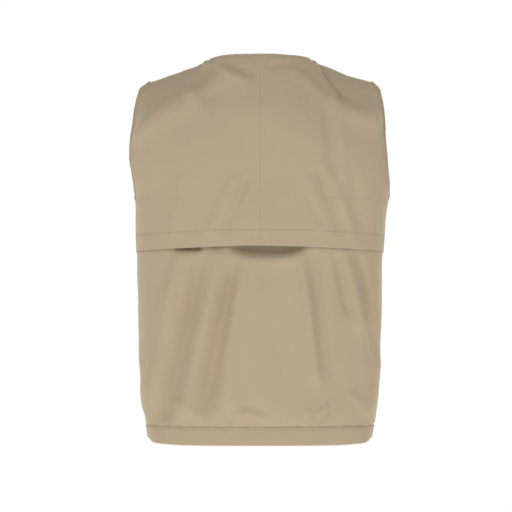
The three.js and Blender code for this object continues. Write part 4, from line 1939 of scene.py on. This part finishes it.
    def _snap_seat(self) -> tuple[Vector, Vector]:
        """The snap's place on the pocket's face, and the direction out of the face there.

        Returns:
            The place and the direction.
        """
        x, z = (self.inner + self.outer) / 2, self.hinge - self.flap + 14
        angle = FORM.angle_at(x, z)
        height = FORM.height(angle, z)
        seat = FORM.at(angle, height, self._face_off(z) + self.face_thick)
        out = (FORM.at(angle, height, 10) - FORM.at(angle, height, 0)).normalized()
        turn = self.side.value
        return Vector((seat.x * turn, seat.y, seat.z)), Vector((out.x * turn, out.y, out.z))

    def _snap(self) -> list[bpy.types.Object]:
        """The snap's cap on the flap and its stud on the face.

        Returns:
            The cap and the stud.
        """
        word = self.side.word
        seat, out = self._snap_seat()
        proud = seat + out * (self.flap_gap + self.flap_thick + 0.5)
        turn = Vector((0, 0, 1)).rotation_difference(out).to_matrix().to_4x4()
        parts = (
            ("cap", f"{self.kind}_flap_{word}", SNAP_CAP, proud),
            ("stud", f"front_{word}", SNAP_STUD, seat),
        )
        pieces = []
        for part, body, profile, origin in parts:
            mesh = revolve(profile)
            bmesh.ops.transform(mesh, matrix=Matrix.Translation(origin) @ turn, verts=mesh.verts)
            name = f"{self.kind}_snap_{part}_metal_{word}"
            pieces.append(hardware(mesh, name, body, f"{self.kind}_snap_{part}_{word}"))
        return pieces

    def build(self) -> list[bpy.types.Object]:
        """Makes every piece of the pocket."""
        return self._face() + self._gusset() + self._flap_piece() + self._snap()


# ---- zip -------------------------------------------------------------------------------------


def slab(mesh: bmesh.types.BMesh, low: Vector, high: Vector, radius: float, segments: int = 2) -> None:
    """Adds a box with rounded edges.

    Args:
        mesh: The shape to add to.
        low: Its lowest corner.
        high: Its highest corner.
        radius: The edges' radius.
        segments: Steps in each rounding.
    """
    matrix = Matrix.Translation((low + high) / 2) @ Matrix.Diagonal((*(high - low), 1.0))
    made = bmesh.ops.create_cube(mesh, size=1.0, matrix=matrix)["verts"]
    edges = list({edge for vert in made for edge in vert.link_edges})
    bmesh.ops.bevel(
        mesh, geom=edges, offset=radius, segments=segments, affect="EDGES", profile=0.5, material=-1
    )


@dataclass
class Zip:
    """The separating zip: tapes, teeth, end stops, slider and pull."""

    pitch: float = 3.0
    tooth: float = 1.25
    tooth_near: float = 0.45
    tooth_far: float = 2.9
    tooth_half: float = 1.35
    cord_near: float = 2.3
    cord_far: float = 3.3
    cord_half: float = 1.1
    middle: float = -0.8
    low: float = 16.5
    high: float = 467.0
    tape_near: float = 3.6
    tape_far: float = 20
    slider_low: float = 468.2
    slider_high: float = 487.8
    slider_half: float = 5.9
    pull_off: float = 4.1
    pull_z: float = 477.0
    pull_half: float = 3.8
    pull_thick: float = 0.6

    def _off(self, off: float) -> float:
        """The y of a distance in front of the centre front."""
        return FORM.shift - (FORM.front_depth + off)

    def _bar(
        self,
        mesh: bmesh.types.BMesh,
        across: tuple[float, float],
        off: tuple[float, float],
        up: tuple[float, float],
        radius: float,
        segments: int = 2,
    ) -> None:
        """Adds a rounded box that is placed from the centre front.

        Args:
            mesh: The shape to add to.
            across: Its two sides' x, in either order.
            off: Its back's and front's distance in front of the centre front.
            up: Its lower and upper ends.
            radius: The edges' radius.
            segments: Steps in each rounding.
        """
        low = Vector((min(across), self._off(max(off)), up[0]))
        high = Vector((max(across), self._off(min(off)), up[1]))
        slab(mesh, low, high, radius, segments)

    def _about(self, half: float) -> tuple[float, float]:
        """A depth as far behind the teeth's middle as in front of it."""
        return self.middle - half, self.middle + half

    def _teeth(self, side: Side) -> bpy.types.Object:
        """Makes a row of clasping teeth on a corded edge.

        Args:
            side: The row's side.

        Returns:
            The row.
        """
        mesh = bmesh.new()
        sign = side.value
        cord = (sign * self.cord_near, sign * self.cord_far)
        self._bar(mesh, cord, self._about(self.cord_half), (self.low, self.high), 0.5)
        tooth = (sign * self.tooth_near, sign * self.tooth_far)
        lag = 0 if side is Side.LEFT else self.pitch / 2
        for i in range(int((self.high - self.low - 3) / self.pitch)):
            z = self.low + 0.8 + lag + i * self.pitch
            self._bar(mesh, tooth, self._about(self.tooth_half), (z, z + self.tooth), 0.28, 1)
        return hardware(mesh, f"zip_row_{side.word}", f"front_{side.word}", f"zip_teeth_{side.word}")

    def _tape(self, side: Side) -> list[bpy.types.Object]:
        """Makes a woven tape sewn behind the front's edge.

        Args:
            side: The tape's side.

        Returns:
            The tape.
        """

        def place(across: float, along: float, off: float) -> Vector:
            """From the teeth to the sewn edge, and up the front."""
            x = mix(self.tape_near, self.tape_far, across)
            return Vector((x, self._off(-0.35 + off), mix(2, self.high, along)))

        return Patch(
            name=f"zip_tape_{side.word}",
            place=on_side(place, side),
            width=self.tape_far - self.tape_near,
            length=self.high - 2,
            slot=Slot.ZIP_TAPE,
            ride=Ride(f"front_{side.word}"),
            thick=0.8,
            step=6,
            relief=lambda at, across, along: 0.12 * math.sin(at.x * 2.4) * bell(across - 0.2, 0.12),
            stands_for=(f"zip_tape_{side.word}",),
            held="stretched",
        ).build()

    def _ends(self) -> list[bpy.types.Object]:
        """Makes the box on the left tape and the pin on the right.

        Returns:
            The box and the pin.
        """
        pieces = []
        for node, sign, body in (("zip_box", 1, "front_left"), ("zip_pin", -1, "front_right")):
            mesh = bmesh.new()
            depth = (self.middle - 1.5, self.middle + 1.7)
            self._bar(mesh, (sign * 0.25, sign * 4.6), depth, (2.2, 15.4), 0.6, 3)
            pieces.append(hardware(mesh, f"{node}_metal", body, node))
        return pieces

    def _slider(self) -> bpy.types.Object:
        """Makes the slider: two waisted plates, flanges, neck and bail.

        Returns:
            The slider.
        """
        mesh = bmesh.new()
        z0, z1, half = self.slider_low, self.slider_high, self.slider_half
        for plate in ((1.35, 2.85), (-4.15, -2.65)):
            self._bar(mesh, (-half, half), plate, (z0, z1), 0.5, 3)
        for vert in mesh.verts:
            up = (vert.co.z - z0) / (z1 - z0)
            vert.co.x *= 1 - 0.30 * smooth((0.32 - up) / 0.32) - 0.12 * smooth((up - 0.8) / 0.2)
        for sign in (-1, 1):
            for flange in ((0.05, 2.0), (-3.5, -1.65)):
                self._bar(mesh, (sign * 5.0, sign * half), flange, (z0 + 5, z1 - 6.5), 0.3)
        self._bar(mesh, (-0.35, 0.35), (-3.4, 2.1), (z1 - 9, z1 - 2), 0.1, 1)
        for leg in ((z0 + 5, z0 + 7), (z1 - 5, z1 - 3)):
            self._bar(mesh, (-1.2, 1.2), (2.5, 6.2), leg, 0.4)
        self._bar(mesh, (-1.2, 1.2), (5.55, 6.7), (z0 + 5, z1 - 3), 0.45, 3)
        return hardware(mesh, "zip_slider_metal", "zip_slider", "zip_slider")

    def _pull(self) -> bpy.types.Object:
        """Makes the pull: a crossbar, two arms and a leaf-shaped tab.

        Returns:
            The pull.
        """
        mesh = bmesh.new()
        z, half, thick = self.pull_z, self.pull_half, self.pull_thick
        depth = (self.pull_off - thick, self.pull_off + thick)
        self._bar(mesh, (-half, half), depth, (z - thick, z + thick), 0.3)
        for sign in (-1, 1):
            self._bar(mesh, (sign * 2.5, sign * half), depth, (z - 13, z), 0.3)
        self._bar(mesh, (-half, half), depth, (z - 33.9, z - 12), 0.4, 3)
        boss = (self.pull_off - 0.75, self.pull_off + 0.75)
        self._bar(mesh, (-2.2, 2.2), boss, (z - 31, z - 16), 0.7, 3)
        return hardware(mesh, "zip_pull_metal", "zip_pull", "zip_pull")

    def build(self) -> list[bpy.types.Object]:
        """Makes every piece of the zip.

        Returns:
            The pieces.
        """
        pieces = []
        for side in Side:
            pieces += [*self._tape(side), self._teeth(side)]
        return [*pieces, *self._ends(), self._slider(), self._pull()]


# ---- trims -----------------------------------------------------------------------------------


@dataclass
class Trims:
    """The tool tab and ring, the hanger loop and the plain neck label."""

    ring_radius: float = 14
    wire: float = 1.5
    eye: float = 2.1
    strap: float = 1.6
    tab_half: float = 9
    tab_rise: float = 17
    loop_half: float = 23
    loop_sag: float = 16.5
    loop_wide: float = 5
    loop_length: float = 60

    def _seat(self) -> tuple[Vector, Vector]:
        """Finds the ring's bar.

        Returns:
            The bar's middle in millimetres, and the direction out of the chest.
        """
        joint = next(j for j in frame["joints"] if j["name"] == "tool_ring_swing")
        axis = Vector(joint["axis"])
        return Vector(joint["pos_m"]) / MM, Vector((-axis.y, axis.x, 0)).normalized()

    def _put(self, mesh: bmesh.types.BMesh) -> None:
        """Turns a shape made about the bar, facing -Y, and moves it to the chest.

        Args:
            mesh: The shape.
        """
        centre, out = self._seat()
        turn = Vector((0, -1, 0)).rotation_difference(out).to_matrix().to_4x4()
        bmesh.ops.transform(mesh, matrix=Matrix.Translation(centre) @ turn, verts=mesh.verts)

    def _ring(self) -> bpy.types.Object:
        """Makes a D of round wire.

        Returns:
            The ring.
        """
        mesh = bmesh.new()
        origin = (0, 0, 0)
        made = bmesh.ops.create_circle(mesh, segments=14, radius=self.wire, cap_ends=False)["verts"]
        upright = Matrix.Rotation(math.pi / 2, 3, "X")
        bmesh.ops.rotate(mesh, verts=made, cent=origin, matrix=upright)
        bmesh.ops.translate(mesh, verts=made, vec=(self.ring_radius, 0, 0))
        bmesh.ops.rotate(mesh, verts=made, cent=origin, matrix=upright.inverted())
        sweep = {"axis": (0, 1, 0), "cent": origin, "angle": math.pi, "steps": 36}
        geometry = mesh.verts[:] + mesh.edges[:]
        bmesh.ops.spin(mesh, geom=geometry, use_merge=False, use_duplicate=False, **sweep)
        bmesh.ops.holes_fill(mesh, edges=mesh.edges, sides=0)
        bmesh.ops.recalc_face_normals(mesh, faces=mesh.faces)
        if sum(vert.co.z for vert in mesh.verts) > 0:
            over = Matrix.Rotation(math.pi, 3, "Y")
            bmesh.ops.rotate(mesh, verts=mesh.verts, cent=origin, matrix=over)
        bar = {
            "segments": 18,
            "radius1": self.wire,
            "radius2": self.wire,
            "depth": 2 * (self.ring_radius + self.wire),
            "matrix": Matrix.Rotation(math.pi / 2, 4, "Y"),
        }
        bmesh.ops.create_cone(mesh, cap_ends=True, **bar)
        self._put(mesh)
        return hardware(mesh, "tool_ring_metal", "tool_ring", "tool_ring")

    def _tab(self) -> bpy.types.Object:
        """Makes the strap that is sewn down above and wraps the ring's bar.

        Returns:
            The strap.
        """
        mesh = bmesh.new()
        lie = Matrix.Rotation(math.pi / 2, 4, "Y")
        walls = []
        for radius in (self.eye + self.strap, self.eye):
            tube = {"segments": 28, "radius1": radius, "radius2": radius, "depth": 2 * self.tab_half}
            walls.append(bmesh.ops.create_cone(mesh, cap_ends=False, matrix=lie, **tube)["verts"])
        inside = list({face for vert in walls[1] for face in vert.link_faces})
        bmesh.ops.reverse_faces(mesh, faces=inside)
        for sign in (-1, 1):
            open_edges = [edge for edge in mesh.edges if edge.is_boundary]
            rims = [edge for edge in open_edges if all(vert.co.x * sign > 1 for vert in edge.verts)]
            bmesh.ops.bridge_loops(mesh, edges=rims)
        bmesh.ops.recalc_face_normals(mesh, faces=mesh.faces)
        low = Vector((-self.tab_half, self.eye + 0.1, 1.0))
        high = Vector((self.tab_half, self.eye + self.strap, self.tab_rise))
        slab(mesh, low, high, 0.4)
        self._put(mesh)
        centre, out = self._seat()
        side = Vector((0, 0, 1)).cross(out).normalized()
        uv = mesh.loops.layers.uv.new("UVMap")
        for face in mesh.faces:
            for loop in face.loops:
                loop[uv].uv = ((loop.vert.co - centre).dot(side) * MM, loop.vert.co.z * MM)
        return hardware(mesh, "tool_tab_strap", "front_left", "tool_tab", Slot.TRIM)

    def _hanger(self) -> list[bpy.types.Object]:
        """Makes the loop inside the back neck.

        Returns:
            The loop.
        """
        low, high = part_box("hanger_loop")
        middle = (low + high) / 2 / MM

        def place(across: float, along: float, off: float) -> Vector:
            """Along the hanging arc.

            Args:
                across: Share of the width.
                along: Share of the length.
                off: Distance out of the cloth in millimetres.

            Returns:
                The place in millimetres.
            """
            x = mix(-self.loop_half, self.loop_half, along)
            sag = self.loop_sag * (1 - (x / self.loop_half) ** 2)
            top = high.z / MM - 1.5
            return Vector((x, middle.y + 0.6 + off, top - sag - self.loop_wide * across))

        return Patch(
            name="hanger_loop",
            place=place,
            width=self.loop_wide,
            length=self.loop_length,
            slot=Slot.TRIM,
            ride=Ride("back"),
            thick=1.3,
            step=2.5,
            stands_for=("hanger_loop",),
            stitch=0,
        ).build()

    def _label(self) -> list[bpy.types.Object]:
        """Makes the plain rectangle that is sewn to the lining.

        Returns:
            The label and its stitches.
        """
        low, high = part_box("neck_label")

        def place(across: float, along: float, off: float) -> Vector:
            """Over the CAD label's box.

            Args:
                across: Share of the width.
                along: Share of the length.
                off: Distance out of the cloth in millimetres.

            Returns:
                The place in millimetres.
            """
            x = mix(low.x, high.x, across) / MM
            z = mix(low.z, high.z, along) / MM
            return Vector((x, low.y / MM + 0.2 - off, z))

        return Patch(
            name="neck_label",
            place=place,
            width=48,
            length=20,
            slot=Slot.TRIM,
            ride=Ride("back"),
            thick=0.6,
            step=4,
            along_seams=(2.0, -2.0),
            across_seams=(2.0, -2.0),
            seam_depth=0.2,
            pucker=0.1,
            stands_for=("neck_label",),
            held="stretched",
        ).build()

    def build(self) -> list[bpy.types.Object]:
        """Makes every trim.

        Returns:
            The pieces.
        """
        return [self._ring(), self._tab(), *self._hanger(), *self._label()]


# ---- studio ----------------------------------------------------------------------------------


@dataclass
class Studio:
    """The pale floor, the soft lights, the white surround and the camera."""

    distance: float = 6.0
    camera_x: float = 0.0066
    camera_z: float = 0.3105
    across: float = 0.853
    floor_z: float = -0.6
    floor_radius: float = 5
    aim_z: float = 0.33
    soft_light: float = 0.44
    floor_glow: float = 0.55

    def _lamp(self, name: str, place: tuple[float, float, float], size: float, power: float) -> None:
        """Makes a square soft light aimed at the vest.

        Args:
            name: The lamp's name.
            place: Where it hangs.
            size: The length of its side.
            power: Its power in watts.
        """
        data = bpy.data.lights.new(name, "AREA")
        data.size, data.energy = size, power
        lamp = bpy.data.objects.new(name, data)
        lamp.location = place
        aim = Vector((0, 0, self.aim_z)) - Vector(place)
        lamp.rotation_euler = aim.to_track_quat("-Z", "Y").to_euler()
        bpy.context.scene.collection.objects.link(lamp)

    def _surround(self) -> None:
        """Makes a white surround that lights gently."""
        world = bpy.data.worlds.new("surround")
        world.use_nodes = True
        tree = world.node_tree
        surround = tree.nodes["Background"]
        surround.inputs["Color"].default_value = (1, 1, 1, 1)
        path = tree.nodes.new("ShaderNodeLightPath")
        level = tree.nodes.new("ShaderNodeMapRange")
        level.inputs["To Min"].default_value = self.soft_light
        level.inputs["To Max"].default_value = 1.0
        tree.links.new(path.outputs["Is Camera Ray"], level.inputs["Value"])
        tree.links.new(level.outputs["Result"], surround.inputs["Strength"])
        bpy.context.scene.world = world

    def _floor(self) -> None:
        """Makes a plain pale floor below the vest."""
        mesh = bmesh.new()
        bmesh.ops.create_circle(mesh, cap_ends=True, segments=96, radius=self.floor_radius)
        bmesh.ops.translate(mesh, verts=mesh.verts, vec=(0, 0, self.floor_z))
        data = bpy.data.meshes.new("floor")
        mesh.to_mesh(data)
        mesh.free()
        look = Look("pale_floor")
        look.set(Base_Color=(0.86, 0.86, 0.85, 1), Roughness=0.9)
        look.set(Emission_Color=(1, 1, 1, 1), Emission_Strength=self.floor_glow)
        data.materials.append(look.material)
        floor = bpy.data.objects.new("floor", data)
        bpy.context.scene.collection.objects.link(floor)

    def build(self) -> None:
        """Makes the camera first, then the surround, floor and lights."""
        scene = bpy.context.scene
        data = bpy.data.cameras.new("camera")
        data.sensor_width = 36
        data.lens = 36 * self.distance / self.across
        camera = bpy.data.objects.new("camera", data)
        camera.location = (self.camera_x, self.distance, self.camera_z)
        camera.rotation_euler = (math.pi / 2, 0, math.pi)
        scene.collection.objects.link(camera)
        scene.camera = camera
        scene.view_settings.view_transform = "Standard"
        self._surround()
        self._floor()
        self._lamp("key_back", (1.9, 2.8, 1.6), 0.9, 32)
        self._lamp("fill_back", (-2.2, 2.4, 0.8), 1.4, 17.5)
        self._lamp("key_front", (-1.9, -2.8, 1.6), 0.9, 32)
        self._lamp("fill_front", (2.2, -2.4, 0.8), 1.4, 19.5)


CHEST = {"inner": 44, "outer": 148, "hinge": 408, "height": 112, "deep": 14, "mouth": 8, "flap": 46}
CARGO = {"inner": 30, "outer": 166, "hinge": 236, "height": 158, "deep": 22, "mouth": 10, "flap": 58}


def main() -> None:
    """Builds the studio and every sub-assembly of the vest, and reports each piece."""
    logging.basicConfig(level=logging.INFO, format="%(name)s: %(message)s")
    Studio().build()
    parts: list[Back | Front | Pocket | Zip | Trims] = [Back()]
    for side in Side:
        parts += [Front(side=side), Pocket("chest", side, **CHEST), Pocket("cargo", side, **CARGO)]
    parts += [Zip(), Trims()]
    for part in parts:
        for piece in part.build():
            LOG.info("%s: %s, %d faces", type(part).__name__, piece.name, len(piece.data.polygons))


if __name__ == "__main__":
    main()
